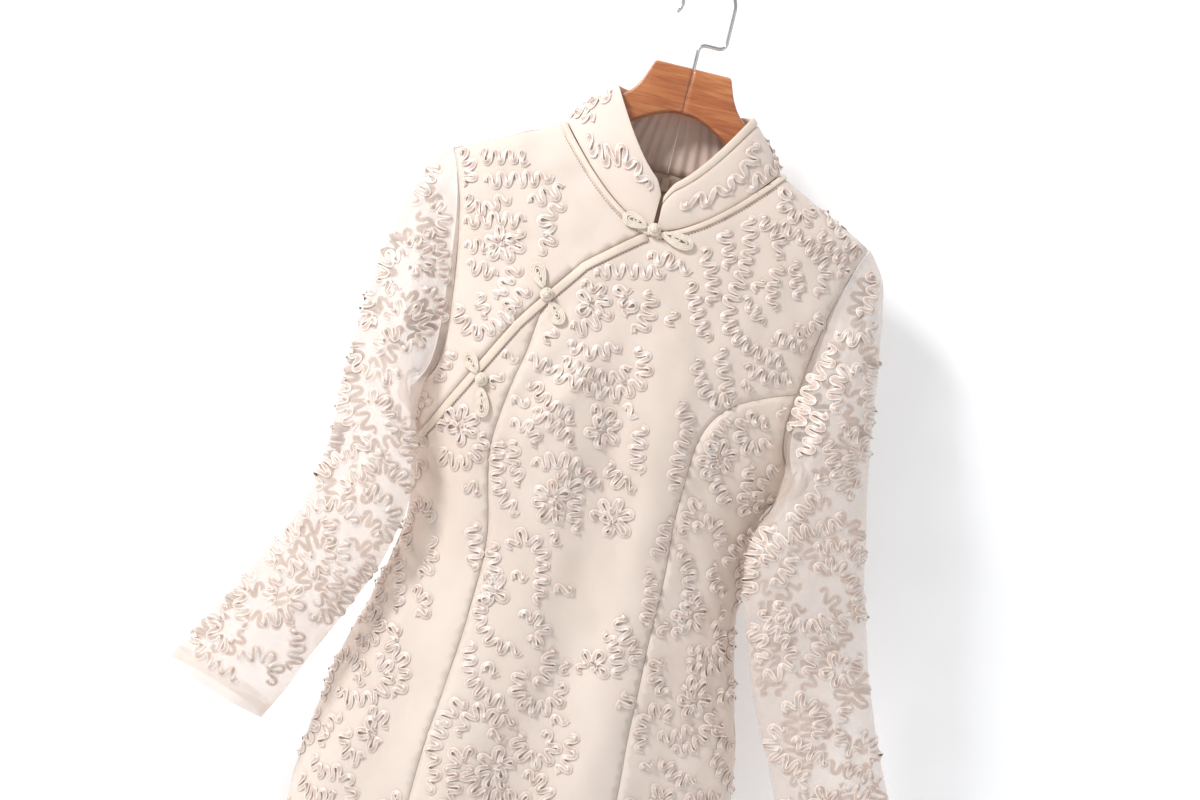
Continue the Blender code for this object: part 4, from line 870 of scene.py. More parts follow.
def backPiece():
    z = downTo(-187.9, step=6.0)
    low = np.where(z > zipGap["end"], zipGap["teeth"], zipGap["below"])
    gap = np.where(z > zipGap["top"], zipGap["slider"], low)
    half = (
        neckline("back", zipGap["slider"]) + shoulderLine("back") + armholeLine("back")
        + sideSeam("back", body["armpitZ"]) + hemLine(float(quarterGirth(body["hemZ"], "back")), 0.0)
        + list(zip(gap, z))[::-1]
    )
    return {"back_right": half, "back_left": [(-u, z) for u, z in half]}


panels = {}
for side, pieces in (("front", frontPieces()), ("back", backPiece())):
    for node, outline in pieces.items():
        words = node.split("_")
        name = words[0] + "".join(word.title() for word in words[1:]) + "Cloth"
        item, loop, size, area = panelCloth(name, outline, bodyPlace(side), panelCut, finishes["crepe"])
        wear(item, node)
        panels[node] = {"item": item, "loop": loop, "side": side, "size": size, "area": area}
        print(name, len(item.data.polygons), "faces, flat", [round(v, 3) for v in size], round(area, 4))


# sleeves: outer x and z, inner x and z, outer y, inner y, half depth, every 50 mm

sleeveCut = {
    "left": (
        (188, -195, 177.5, -407, 0, 0, 27), (203, -219, 177, -415, -2, -10, 30),
        (215, -256, 166, -428, -6, -30, 31), (225, -305, 155, -444, -12, -44, 29),
        (228, -360, 149, -464, -18, -49, 27), (228, -420, 147, -490, -22, -50, 26),
        (228, -478, 149, -522, -24, -49, 25), (238, -534, 160, -562, -25, -46, 24),
        (262, -584, 179, -608, -26, -44, 23), (288, -631, 201, -657, -27, -42, 22),
        (316, -683, 226, -711, -28, -40, 21),
    ),
    "right": (
        (188, -195, 177.5, -407, 0, 0, 27), (202, -217, 177, -414, -2, -10, 30),
        (213, -256, 165, -427, -6, -30, 31), (219, -305, 153, -440, -12, -44, 30),
        (226, -360, 145, -456, -18, -51, 28), (236, -420, 142, -480, -22, -52, 27),
        (250, -478, 150, -514, -24, -50, 26), (265, -534, 164, -556, -25, -46, 24),
        (283, -584, 183, -604, -26, -44, 23), (303, -631, 207, -654, -27, -42, 22),
        (326, -681, 233, -707, -28, -40, 21),
    ),
    "step": 50.0, "join": 3.0, "topReach": 90.0, "tipSlope": (0.72, 0.0, -0.69),
    "lowReach": 24.0, "lowDrop": 12.0, "room": 1.0,
    # row, angle, slant, width, height
    "folds": (
        (2.6, 60, 14, 0.5, 3.0), (4.2, 30, -10, 0.45, -3.0), (6.4, 70, 16, 0.4, 3.0),
        (7.3, 110, -16, 0.4, -3.0), (8.6, 50, 10, 0.5, 2.5), (4.8, -60, 14, 0.5, -3.0),
        (7.0, -90, -14, 0.5, 3.0),
    ),
    "around": 84, "down": 86, "hem": 11.0,
}


def rowValue(rows, row, column):
    table = np.array([(index,) + tuple(line) for index, line in enumerate(rows)], dtype=float)
    return smoothColumn(table, row, column + 1)


def sleeveOval(rows, row, angle):
    row, angle = np.broadcast_arrays(np.asarray(row, dtype=float), np.asarray(angle, dtype=float))

    def values(at):
        return [rowValue(rows, at, column) for column in range(7)]

    here, later, sooner = values(row), values(row + 0.05), values(row - 0.05)
    outer = np.stack((here[0], here[4], here[1]), -1)
    inner = np.stack((here[2], here[5], here[3]), -1)
    along = np.stack((
        later[0] + later[2] - sooner[0] - sooner[2],
        later[4] + later[5] - sooner[4] - sooner[5],
        later[1] + later[3] - sooner[1] - sooner[3],
    ), -1)
    start = np.clip(1.0 - row / 1.5, 0.0, 1.0)[..., None]
    level = np.array((1.0, 0.0, -0.1)) * np.linalg.norm(along, axis=-1, keepdims=True)
    along = along + (level - along) * start
    chord = (outer - inner) * 0.5
    cross = unit(np.cross(along, chord))
    cross = np.where(cross[..., 1:2] > 0.0, -cross, cross)
    fold = np.zeros(row.shape)
    for at, turn, slant, width, height in sleeveCut["folds"]:
        away = (row - at - slant / 90.0 * np.sin(angle)) / width
        facing = np.maximum(0.0, np.cos(angle - math.radians(turn)))
        fold = fold + height * np.exp(-away * away) * facing * facing
    widen = 1.0 + fold / 40.0
    flat = 1.0 - smoothStep((row - 6.0) / 2.0)
    behind = 1.0 - 0.7 * flat * (0.5 - 0.5 * np.cos(angle))
    widen = widen * np.where(np.sin(angle) < 0.0, behind, 1.0)
    middle = (outer + inner) * 0.5
    return (
        middle + chord * np.cos(angle)[..., None]
        + cross * (here[6] * np.sin(angle) * widen)[..., None]
    )


def armholeEdge(angle):
    middleZ = (body["tipZ"] + body["armpitZ"]) / 2.0
    inFront = np.sin(angle) > 0.0

    def both(work):
        return np.where(inFront[..., None], work("front"), work("back"))

    def edgePoint(turn, side):
        z = middleZ + (body["tipZ"] - middleZ) * np.cos(turn)
        return across(armholeX(z, side), z, side), z

    point = both(lambda side: bodyPoint(*edgePoint(angle, side), side))
    normal = both(lambda side: bodyNormal(*edgePoint(angle, side), side))
    ahead, behind = np.minimum(math.pi, angle + 0.02), np.maximum(-math.pi, angle - 0.02)
    after = both(lambda side: bodyPoint(*edgePoint(ahead, side), side))
    edge = after - both(lambda side: bodyPoint(*edgePoint(behind, side), side))
    out = unit(np.cross(normal, edge))
    away = np.array((body["tipHalf"], 0.0, middleZ)) - point
    out = np.where(np.sum(out * away, -1)[..., None] < 0.0, -out, out)
    return point, normal, out


def clearOfBody(point, room):
    z = point[..., 2]
    inFront = point[..., 1] < 0.0
    low = z < body["armpitZ"] + 14.0
    near = 9.5 * smoothStep((body["armpitZ"] + 14.0 - z) / 11.0)
    gap = near + room * smoothStep((body["armpitZ"] - z) / 24.0)
    wide = halfWidth(z) + gap
    deep = np.where(inFront, depthAt(z, "front"), depthAt(z, "back")) + gap
    reach = np.hypot(point[..., 0] / wide, point[..., 1] / deep)
    push = np.where(low & (reach < 1.0), 1.0 / np.maximum(reach, 0.2), 1.0)
    return point * np.stack((push, push, np.ones(push.shape)), -1)


def sleeveSurface(rows, row, angle):
    row, angle = np.broadcast_arrays(np.asarray(row, dtype=float), np.asarray(angle, dtype=float))
    join = sleeveCut["join"]
    lower = sleeveOval(rows, row, angle)
    start, normal, out = armholeEdge(angle)
    end = sleeveOval(rows, join, angle)
    arrive = (sleeveOval(rows, join + 0.05, angle) - sleeveOval(rows, join - 0.05, angle)) * 10.0 * join
    high = (0.5 + 0.5 * np.cos(angle))[..., None]
    turn = (np.sin(angle) ** 2)[..., None]
    leave = (out * turn + np.array(sleeveCut["tipSlope"]) * (1.0 - turn)) * sleeveCut["topReach"] * high
    leave = leave + (normal * sleeveCut["lowReach"] - np.array((0, 0, sleeveCut["lowDrop"]))) * (1.0 - high)
    part = np.clip(row / join, 0.0, 1.0)[..., None]
    square = part * part
    cube = square * part
    upper = (
        start * (2 * cube - 3 * square + 1) + leave * (cube - 2 * square + part)
        + end * (3 * square - 2 * cube) + arrive * (cube - square)
    )
    return clearOfBody(np.where((row < join)[..., None], upper, lower), sleeveCut["room"])


def sleeveGirth(rows, row):
    a = np.hypot(rowValue(rows, row, 0) - rowValue(rows, row, 2),
                 rowValue(rows, row, 1) - rowValue(rows, row, 3)) / 2.0
    b = rowValue(rows, row, 6)
    return math.pi * (3.0 * (a + b) - np.sqrt((3.0 * a + b) * (a + 3.0 * b)))


def sleevePlace(rows, mirror):

    def place(u, v, lift, shared=False):  # u round from the outer fold, v down from the armhole
        row = np.maximum(0.0, -np.asarray(v, dtype=float) / sleeveCut["step"])
        angle = np.asarray(u, dtype=float) / sleeveGirth(rows, row) * 2.0 * math.pi
        angle = np.clip(angle, -math.pi, math.pi)
        point = sleeveSurface(rows, row, angle)
        if shared:
            row, angle = row[:, 2:3], angle[:, 2:3]
        one = sleeveSurface(rows, row, np.clip(angle + 0.03, -math.pi, math.pi))
        two = sleeveSurface(rows, row, np.clip(angle - 0.03, -math.pi, math.pi))
        below = sleeveSurface(rows, row + 0.03, angle)
        above = sleeveSurface(rows, np.maximum(0.0, row - 0.03), angle)
        normal = unit(np.cross(one - two, below - above))
        loose = smoothStep((row - 0.1) / 0.6)
        u, v = np.asarray(u, dtype=float), np.asarray(v, dtype=float)
        rise = np.asarray(lift) + 1.4 * loose * rumple(u * 1.2, v * 0.9, 3.1 * mirror)
        point = point + normal * rise[..., None]
        return point * np.array((mirror, 1.0, 1.0))

    return place


def sleeveCloth(name, rows, mirror):
    around, down = sleeveCut["around"], sleeveCut["down"]
    long = (len(rows) - 1) * sleeveCut["step"]
    net = np.linspace(0.0, -long + sleeveCut["hem"], down)
    v = np.concatenate((net, (-long + 6.0, -long + 0.6, -long)))
    shares = np.linspace(-1.0, 1.0, around + 1)[:-1]
    girth = sleeveGirth(rows, -v / sleeveCut["step"])
    u = shares[None] * girth[:, None] / 2.0
    grid = sleevePlace(rows, mirror)(u, np.broadcast_to(v[:, None], u.shape), 0.0)
    verts = grid.reshape(-1, 3)
    faces = gridFaces(len(v), around, True)
    item = meshObject(name, verts, faces, finishes["sheer"])
    item.data.materials.append(finishes["sheerHem"])
    for index in range(around * down - around, len(item.data.polygons)):
        item.data.polygons[index].material_index = 1
    setUv(item, pairs(u, v[:, None]) * mm)
    faceOut(item)
    return item, long * mm


sleeves = {}
for name, mirror in (("left", -1.0), ("right", 1.0)):
    rows = sleeveCut[name]
    item, long = sleeveCloth("sleeve" + name.title() + "Net", rows, mirror)
    wear(item, "sleeve_" + name)
    sleeves[name] = {"item": item, "rows": rows, "mirror": mirror, "long": long}
print("sleeves made")


# collar, standing on the neckline

collarCut = {
    "topHalf": 61.0, "topZ": -107.0, "frontZ": -187.0, "frontY": -38.0, "backY": 20.0,
    "radius": 62.0, "start": 0.02, "end": math.pi - 0.05, "binding": 7.0, "piping": 5.5,
}


def collarBase(angle):
    x = body["neckHalf"] * np.sin(angle)

    def on(side):
        z = necklineZ(x, side)
        return bodyPoint(across(x, z, side), z, side)

    return np.where((angle < math.pi / 2.0)[..., None], on("front"), on("back"))


def collarTop(angle):
    cut = collarCut
    rise = np.sin(angle)
    corner = np.maximum(0.0, 1.0 - rise / 0.16)
    frontZ = cut["frontZ"] + (cut["topZ"] - cut["frontZ"]) * np.maximum(rise, 0.0) ** 1.45
    frontZ = frontZ - 12.0 * corner * corner
    inFront = angle < math.pi / 2.0
    z = np.where(inFront, frontZ, cut["topZ"] - 3.0 * np.cos(angle) ** 2)
    y = np.where(inFront, cut["frontY"] * np.cos(angle), -cut["backY"] * np.cos(angle))
    return np.stack((cut["topHalf"] * rise, y, z), -1)


def collarHeight(angle):
    return np.linalg.norm(collarTop(angle) - collarBase(angle), axis=-1)


def collarSurface(angle, height):
    base, top = collarBase(angle), collarTop(angle)
    share = height / collarHeight(angle)
    bulge = 2.0 * np.sin(math.pi * np.clip(share, 0.0, 1.0))
    out = unit(np.stack((np.sin(angle), -0.35 * np.cos(angle), np.zeros(angle.shape)), -1))
    return base + (top - base) * share[..., None] + out * bulge[..., None]


def collarPlace(mirror, uneven=0.35):

    def place(u, v, lift, shared=False):
        u, v = np.broadcast_arrays(np.asarray(u, dtype=float), np.asarray(v, dtype=float))
        angle = u / collarCut["radius"]
        along = collarSurface(angle + 0.012, v) - collarSurface(angle - 0.012, v)
        up = collarSurface(angle, v + 0.8) - collarSurface(angle, v - 0.8)
        normal = unit(np.cross(along, up))
        out = np.stack((np.sin(angle), -np.cos(angle), np.full(angle.shape, 0.1)), -1)
        normal = np.where(np.sum(normal * out, -1)[..., None] < 0.0, -normal, normal)
        rise = np.asarray(lift) + uneven * rumple(u * 1.3, v * 1.6, 5.0 + mirror)
        point = collarSurface(angle, v) + normal * rise[..., None]
        return point * np.array((mirror, 1.0, 1.0))

    return place


def collarAngles(count, start=None, end=None):
    start = collarCut["start"] if start is None else start
    end = collarCut["end"] if end is None else end
    return start + (end - start) * np.linspace(0.0, 1.0, count + 1) ** 1.25


def collarCloth(name, mirror, band):
    angles = collarAngles(110)
    rows = 15
    low, high = 0.7, collarHeight(angles) - band - (0.3 if band else 0.0)
    keep = high > low + 3.0
    angles, high = angles[keep], high[keep]
    v = low + (high - low)[None] * np.linspace(0.0, 1.0, rows)[:, None]
    u = np.broadcast_to((angles * collarCut["radius"])[None], v.shape)
    edge = np.minimum(v - low, (high[None] - v)) if band else v - low
    lift = -0.6 * np.exp(-(edge / 1.6) ** 2)
    verts = collarPlace(mirror)(u, v, lift).reshape(-1, 3)
    item = meshObject(name, verts, gridFaces(rows, len(angles)), finishes["crepe"])
    setUv(item, pairs(u, v) * mm)
    turned = item.data.polygons[len(angles)].normal.y > 0.0
    if turned:
        pickOnly(item)
        bpy.ops.object.mode_set(mode="EDIT")
        bpy.ops.mesh.select_all(action="SELECT")
        bpy.ops.mesh.flip_normals()
        bpy.ops.object.mode_set(mode="OBJECT")
    applyModifier(item, "SOLIDIFY", thickness=1.3 * mm, offset=-1.0)
    applyModifier(item, "BEVEL", width=0.35 * mm, segments=2, limit_method="ANGLE")
    loop = np.concatenate((
        np.stack((u[0], v[0]), -1), np.stack((u[-1], v[-1]), -1)[::-1],
    ))
    return item, loop


collars = {}
for name, mirror, band in (("left", -1.0, 0.0), ("right", 1.0, collarCut["binding"])):
    item, loop = collarCloth("collar" + name.title() + "Cloth", mirror, band)
    wear(item, "collar_" + name)
    collars[name] = {"item": item, "loop": loop, "mirror": mirror}

angles = collarAngles(120)
rail = np.stack((angles * collarCut["radius"], collarHeight(angles)), -1)
lowRail = rail - np.array((0.0, collarCut["binding"]))
collarBinding = bandCloth("collarBinding", lowRail, rail, collarPlace(1.0), -1.9, 0.75, finishes["binding"])
wear(collarBinding, "collar_binding")


def neckRails(drops):
    angles = collarAngles(120, 0.03, math.pi - 0.07)
    rails = []
    for drop in drops:
        x = (body["neckHalf"] + drop * 0.896) * np.sin(angles)
        lean = drop * (1.0 - 0.56 * np.abs(np.sin(angles)))
        line = []
        for at, turn, fall in zip(x, angles, lean):
            side = "front" if turn < math.pi / 2.0 else "back"
            line.append((at, float(necklineZ(body["neckHalf"] * math.sin(turn), side)) - fall, side))
        rails.append(line)
    return rails


def neckBandPlace(rails, mirror):
    sides = [spot[2] for spot in rails[0]]

    def place(x, z, lift):
        front, back = (onBody(across(x, z, side), z, side, lift) for side in ("front", "back"))
        inFront = np.array([side == "front" for side in sides])
        return np.where(inFront[:, None], front, back) * np.array((mirror, 1.0, 1.0))

    return place


for name, mirror in (("left", -1.0), ("right", 1.0)):
    rails = neckRails((0.2, collarCut["piping"]))
    one, two = (np.array([spot[:2] for spot in line]) for line in rails)
    piping = bandCloth("neckPiping" + name.title(), one, two, neckBandPlace(rails, mirror), 0.1, 1.6,
                       finishes["binding"])
    wear(piping, "neck_piping_" + name)


def openingRails(width):  # the opening's edge, and a line below it
    line = np.array(openingLine())[1:-2]
    return line, line + leftOf(unit(np.gradient(line, axis=0))) * width


edge, below = openingRails(opening["band"])
openingBand = bandCloth("openingBand", edge, below, bodyPlace("front"), 0.2, 2.0, finishes["binding"])
wear(openingBand, "opening_band")
print("collar and bands made")


# gathered lining inside the back of the collar

liningCut = {
    "start": math.radians(118.0), "end": math.pi - 0.0015, "gathers": 9, "depth": 0.8,
    "lift": -2.1, "foot": -1.5, "belowTop": 3.0, "thick": 0.6,
}


def liningCloth(name, mirror):
    cut = liningCut
    angles = np.linspace(cut["start"], cut["end"], cut["gathers"] * 14 + 1)
    high = collarHeight(angles) - cut["belowTop"]
    rows = 9
    share = np.linspace(0.0, 1.0, rows)[:, None]
    v = cut["foot"] + (high[None] - cut["foot"]) * share
    u = np.broadcast_to((angles * collarCut["radius"])[None], v.shape)
    wave = 2.0 * math.pi * cut["gathers"] / ((cut["end"] - cut["start"]) * collarCut["radius"])
    slip = 0.5 * np.sin(u / 9.0 + 2.0 * mirror) + 0.35 * np.sin(share * 2.6 + u / 5.0)
    lift = cut["lift"] - cut["depth"] * (1.0 + np.sin(wave * u + slip))
    verts = collarPlace(mirror, 0.0)(u, v, lift).reshape(-1, 3)
    item = meshObject(name, verts, gridFaces(rows, len(angles)), finishes["lining"])
    setUv(item, pairs(u, v) * mm)
    applyModifier(item, "SOLIDIFY", thickness=cut["thick"] * mm, offset=0.0)
    faceOut(item)
    return item


linings = {}
for name, mirror in (("left", -1.0), ("right", 1.0)):
    item = liningCloth("collarLining" + name.title(), mirror)
    linings[name] = wear(item, "collar_lining_" + name)


# frogs: x, z, turns and lengths of the two leaves, lift

frogCut = {
    "places": (
        (0.0, -227.5, 168.0, -10.0, 24.0, 31.0, 2.1),
        (-75.0, -303.0, 124.0, -49.0, 24.0, 24.0, 2.2),
        (-111.0, -386.0, 134.0, -75.0, 22.0, 27.0, 2.2),
    ),
    "leafWidth": 14.2, "loop": 4.7, "cord": 0.76, "knot": 3.9, "turns": 4.6,
}


def bodySpot(x, z, lift):
    return onBody(across(x, z, "front"), z, "front", lift)


def leafCord(frog, turn, length, sign):
    # a cord wound inward, in the outline of a leaf that points at the knot
    x, z, lift = frog[0], frog[1], frog[6]
    angle = math.radians(turn)
    along = np.array((math.cos(angle), math.sin(angle)))
    side = np.array((-along[1], along[0])) * sign
    middle = np.array((x, z)) + along * (frogCut["loop"] + frogCut["cord"] + 0.4 + length / 2.0)
    count = int(frogCut["turns"] * 26)
    t = np.linspace(0.0, frogCut["turns"] * 2.0 * math.pi, count)
    step = frogCut["cord"] * 2.0 / (frogCut["leafWidth"] / 2.0)
    share = np.clip(0.9 - step * 0.86 * t / (2.0 * math.pi), 0.05, 1.0)
    core = np.where(share < 0.3, share / 0.3, 1.0)
    p = -np.cos(t) * (length / 2.0 - frogCut["leafWidth"] / 2.0 * (1.0 - share)) * core
    q = np.sin(t) * frogCut["leafWidth"] / 2.0 * share * (1.0 - 0.35 * np.cos(t))
    spot = middle[None] + along[None] * p[:, None] + side[None] * q[:, None]
    rise = lift + frogCut["cord"] * 1.1 + 1.5 * (1.0 - share)
    return bodySpot(spot[:, 0], spot[:, 1], rise)


def ringCord(centre, normal, tilt, radius, thick, count=28):
    one = np.cross(normal, (math.cos(tilt), 0.3, math.sin(tilt)))
    one = one / np.linalg.norm(one)
    two = np.cross(normal, one)
    t = np.linspace(0.0, 2.0 * math.pi, count + 1)[:-1]
    points = centre + radius * (one * np.cos(t)[:, None] + two * np.sin(t)[:, None])
    return tubeParts(points, thick, 8, True)


def frogPiece(name, node, parts):
    verts, faces, uv = joinParts(parts)
    item = meshObject(name, verts, faces, finishes["cord"])
    setUv(item, uv * np.array((mm, 1.0)))
    faceOut(item)
    wear(item, node)


for number, frog in enumerate(frogCut["places"], 1):
    word, node = "frog" + str(number), "frog_" + str(number) + "_"
    for label, turn, length, sign in (("upper", frog[2], frog[4], 1.0), ("lower", frog[3], frog[5], -1.0)):
        coil = [tubeParts(leafCord(frog, turn, length, sign), frogCut["cord"], 8)]
        frogPiece(word + label.title() + "Coil", node + label, coil)
    u = across(frog[0], frog[1], "front")
    spot, normal = bodyPoint(u, frog[1], "front"), bodyNormal(u, frog[1], "front")
    centre = spot + normal * (frog[6] + 1.2)
    rings = [ringCord(centre + normal * rise, normal, 0.0, radius, 0.95)
             for radius, rise in ((frogCut["loop"] + 0.3, 0.0), (frogCut["loop"] - 0.3, 1.7))]
    frogPiece(word + "Loop", node + "loop", rings)
    centre = spot + normal * (frog[6] + frogCut["knot"] + 0.2)
    rings = []
    for tilt in range(5):  # a ball of crossing rings
        turn = tilt * math.pi / 2.5 + 0.3 * number
        lean = np.array((math.cos(turn), -0.25 if tilt % 2 else 0.5, math.sin(turn)))
        lean = lean / np.linalg.norm(lean)
        at = centre + normal * 0.2 * (tilt % 3)
        rings.append(ringCord(at, lean, turn + 1.0, frogCut["knot"] - 1.1, 1.15))
    rings.append(ringCord(centre + normal * 2.9, normal, turn, 1.35, 1.2, 18))
    frogPiece(word + "Knot", node + "knot", rings)
print("frogs made")


# hanger and its wire hook: x, top, bottom, half thickness

hangerCut = {
    "rows": (
        (0, -78.5, -119.4, 6.5), (13, -78.5, -120.8, 6.5), (25, -78.5, -125.7, 6.5),
        (34, -79.5, -130.8, 6.5), (37, -87, -132.6, 6.5), (41, -97, -135.2, 6.5),
        (48, -108, -140.6, 6.5), (60, -119, -150.5, 6.2), (78, -137, -163.5, 5.2),
        (95, -153.6, -174.5, 4.6), (120, -166.1, -185.5, 4.2), (150, -180.8, -198.5, 4.2),
        (166, -189.4, -205, 4.0), (171.5, -194.5, -205, 3.4), (174, -197, -203, 2.4),
    ),
    "flatTop": -78.5, "corner": 4.0, "joint": 0.06,
    "wire": 1.8, "bend": 23.0, "shift": 23.0,
}


def hangerWood():
    x = np.unique(np.concatenate((
        np.linspace(hangerCut["joint"], 30.0, 9), np.linspace(30.0, 62.0, 30), np.linspace(62.0, 172.0, 40),
        (172.6, 173.2, 173.7, 174.0),
    )))
    top, bottom, thick = (smoothColumn(hangerCut["rows"], x, column) for column in (1, 2, 3))
    top = np.minimum(top, hangerCut["flatTop"])
    bend = np.linspace(0.0, math.pi / 2.0, 7)
    verts = []
    for at, high, low, deep in zip(x, top, bottom, thick):
        half = (high - low) / 2.0
        corner = min(hangerCut["corner"], half, deep)
        ring = [(deep - corner + corner * math.cos(a), half - corner + corner * math.sin(a)) for a in bend]
        ring += [(-y, z) for y, z in ring[::-1]]
        ring += [(y, -z) for y, z in ring[::-1]]
        verts += [(at, y, (high + low) / 2.0 + z) for y, z in ring]
    count = len(ring)
    faces = gridFaces(len(x), count, True)
    faces.append(tuple(range(count)))
    faces.append(tuple(range((len(x) - 1) * count, len(x) * count)))
    halves = []
    for mirror in (1.0, -1.0):
        half = np.array(verts) * np.array((mirror, 1.0, 1.0))
        item = meshObject("hangerWood", half, faces, finishes["wood"])
        faceOut(item)
        halves.append(item)
    pickOnly(halves[0])
    halves[1].select_set(True)
    bpy.ops.object.join()
    return halves[0]


def hookPath():
    def arc(x, z, radius, start, end, count):
        turn = np.radians(np.linspace(start, end, count + 1))
        return [(x + radius * math.cos(t), z + radius * math.sin(t)) for t in turn]

    shift, bend, wire = hangerCut["shift"], hangerCut["bend"], hangerCut["wire"]
    path = [(0.0, -92.0), (0.0, -80.0), (0.0, -70.0), (0.0, -66.0)]
    path += arc(6.0, -62.0, 6.0, 180.0, 90.0, 10) + arc(shift - 6.0, -50.0, 6.0, -90.0, 0.0, 10)
    path += [(shift, -36.0)] + arc(0.0, wire - bend, bend, 0.0, 190.0, 48)
    path += [(-bend - 0.6, wire - bend - 8.0), (-bend - 2.8, wire - bend - 12.0)]
    return np.array([(x, 0.0, z) for x, z in path])


wear(hangerWood(), "hanger")
line = hookPath()
taper = np.full(len(line), hangerCut["wire"])
taper[-1] = hangerCut["wire"] * 0.75
verts, faces, uv = tubeParts(line, taper, 24)
item = meshObject("hookWire", verts, faces, finishes["chrome"])
faceOut(item)
wear(item, "hook")
print("hanger made")


# back zip: tape, teeth, and finishes for the slider and its pull

zipPieces = {
    "tapeTop": -168.5, "tapeHalf": 12.0, "tapeLift": -2.35, "tapeThick": 0.7,
    "teethTop": -186.4, "teethEnd": -654.5, "pitch": 2.1, "teethLifts": (-1.35, -0.15),
}


def zipTape():
    z = downTo(zipPieces["tapeTop"], zipPieces["teethEnd"], 5.0)
    u = np.linspace(-zipPieces["tapeHalf"], zipPieces["tapeHalf"], 9)
    gridU, gridZ = np.meshgrid(u, z)
    verts = onBody(gridU, gridZ, "back", zipPieces["tapeLift"]).reshape(-1, 3)
    item = meshObject("zipTapeCloth", verts, gridFaces(len(z), len(u)), finishes["tape"])
    setUv(item, pairs(gridU, gridZ) * mm)
    applyModifier(item, "SOLIDIFY", thickness=zipPieces["tapeThick"] * mm, offset=0.0)
    faceOut(item)
    return item


def zipTeeth():
    cut = zipPieces
    z = np.arange(cut["teethTop"] - 1.0, cut["teethEnd"] + 1.0, -cut["pitch"])
    outline = (
        (0.35, 0.42), (-0.9, 0.36), (-1.5, 0.62), (-1.5, -0.62), (-0.9, -0.36), (0.35, -0.42),
    )
    verts, faces = [], []
    for index, at in enumerate(z):
        sign = 1.0 if index % 2 else -1.0
        base = len(verts)
        for lift in cut["teethLifts"]:
            u = np.array([spot[0] * sign for spot in outline])
            rise = np.array([spot[1] for spot in outline]) * 1.25
            verts += list(onBody(u, at + rise, "back", lift))
        ring = list(range(6))
        faces += [tuple(base + i for i in ring), tuple(base + 6 + i for i in ring[::-1])]
        faces += [(base + i, base + 6 + i, base + 6 + (i + 1) % 6, base + (i + 1) % 6) for i in ring]
    item = meshObject("zipTeethRow", np.array(verts), faces, finishes["enamel"], smooth=False)
    faceOut(item)
    return item


tape = wear(zipTape(), "zip_tape")
wear(zipTeeth(), "zip_teeth")
for node in ("zip_slider", "zip_pull"):
    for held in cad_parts[node].material_slots:
        held.material = finishes["enamel"]
print("zip made")


# serpentine ribbon work: first where each trail runs, then the ribbon itself

trailCut = {
    "step": 1.5, "cell": 2.0, "apart": 11.4, "edge": 6.4, "look": 7.0,
    "bare": 0.08, "patch": 44.0,
    # starts tried, longest and shortest trail
    "passes": ((600, 150.0, 34.0), (900, 44.0, 12.0)),
    # front trails that are easy to pick out, as x and z
    "placed": (
        ((43, -266), (52, -300), (66, -338), (84, -356), (112, -346), (141, -337)),
        ((76, -196), (82, -214), (83, -242), (78, -277), (84, -294), (104, -306), (135, -311)),
        ((78, -312), (86, -330), (96, -350)), ((88, -266), (98, -272), (108, -283)),
        ((86, -194), (107, -208), (106, -224)), ((112, -230), (110, -250), (115, -268)),
        ((123, -222), (128, -236), (135, -252)), ((104, -196), (128, -204), (152, -222), (150, -246)),
        ((-151, -220), (-130, -213), (-104, -206), (-80, -190)),
        ((-109, -229), (-89, -214), (-70, -195)), ((-82, -223), (-92, -242), (-84, -254), (-94, -273)),
        ((-165, -238), (-149, -245), (-128, -228)), ((-159, -259), (-135, -250), (-110, -246)),
        ((-154, -279), (-138, -275), (-120, -282)), ((-148, -293), (-122, -297)),
        ((-155, -319), (-142, -340), (-126, -349), (-110, -337), (-99, -321)),
        ((-133, -317), (-121, -333)), ((-7, -245), (10, -240), (25, -241)),
        ((-55, -299), (-44, -282), (-27, -270), (14, -261), (28, -250)),
        ((-99, -363), (-80, -360), (-61, -362), (-40, -370), (-18, -371), (4, -370), (21, -352), (13, -328)),
        ((54, -363), (68, -383), (66, -403), (70, -437), (86, -458)),
        ((-72, -322), (-50, -326), (-34, -320), (-20, -304)), ((-48, -340), (-24, -342), (-6, -330)),
        ((-92, -302), (-104, -322), (-92, -342)), ((102, -322), (124, -326), (146, -322)),
        ((30, -392), (32, -420), (44, -444)), ((100, -366), (92, -392), (100, -420), (118, -440)),
        ((-62, -402), (-40, -410), (-22, -420)), ((-52, -446), (-30, -436), (-10, -440), (6, -452)),
        ((44, -500), (60, -486), (80, -484), (98, -500), (104, -528), (102, -560)),
        ((-70, -520), (-60, -548), (-66, -580), (-48, -600), (-24, -602)),
    ),
    # rosettes: x, z, first angle
    "rosettes": (
        (-4, -403, 20), (-28, -470, 200), (26, -476, 80), (101, -404, 140), (-124, -268, 300),
        (-38, -300, 60), (106, -540, 10), (-120, -430, 90), (-60, -560, 150), (40, -600, 250),
        (128, -610, 30), (-130, -700, 10), (-20, -700, 200), (70, -760, 100),
    ),
    # plain ground: a line of x and z with its half width
    "plain": (
        (((-129, -174), (-92, -186), (-56, -214), (-44, -250), (-70, -277)), 11.0),
        (((24, -311), (41, -350), (44, -402), (56, -452), (52, -482)), 9.0),
        (((4, -516), (40, -508), (30, -540), (10, -570)), 18.0),
        (((42, -623), (62, -669), (50, -720)), 14.0),
        (((-123, -476), (-106, -522), (-94, -604), (-95, -657), (-120, -760)), 11.0),
        (((25, -262), (40, -285), (56, -320)), 6.0),
    ),
}


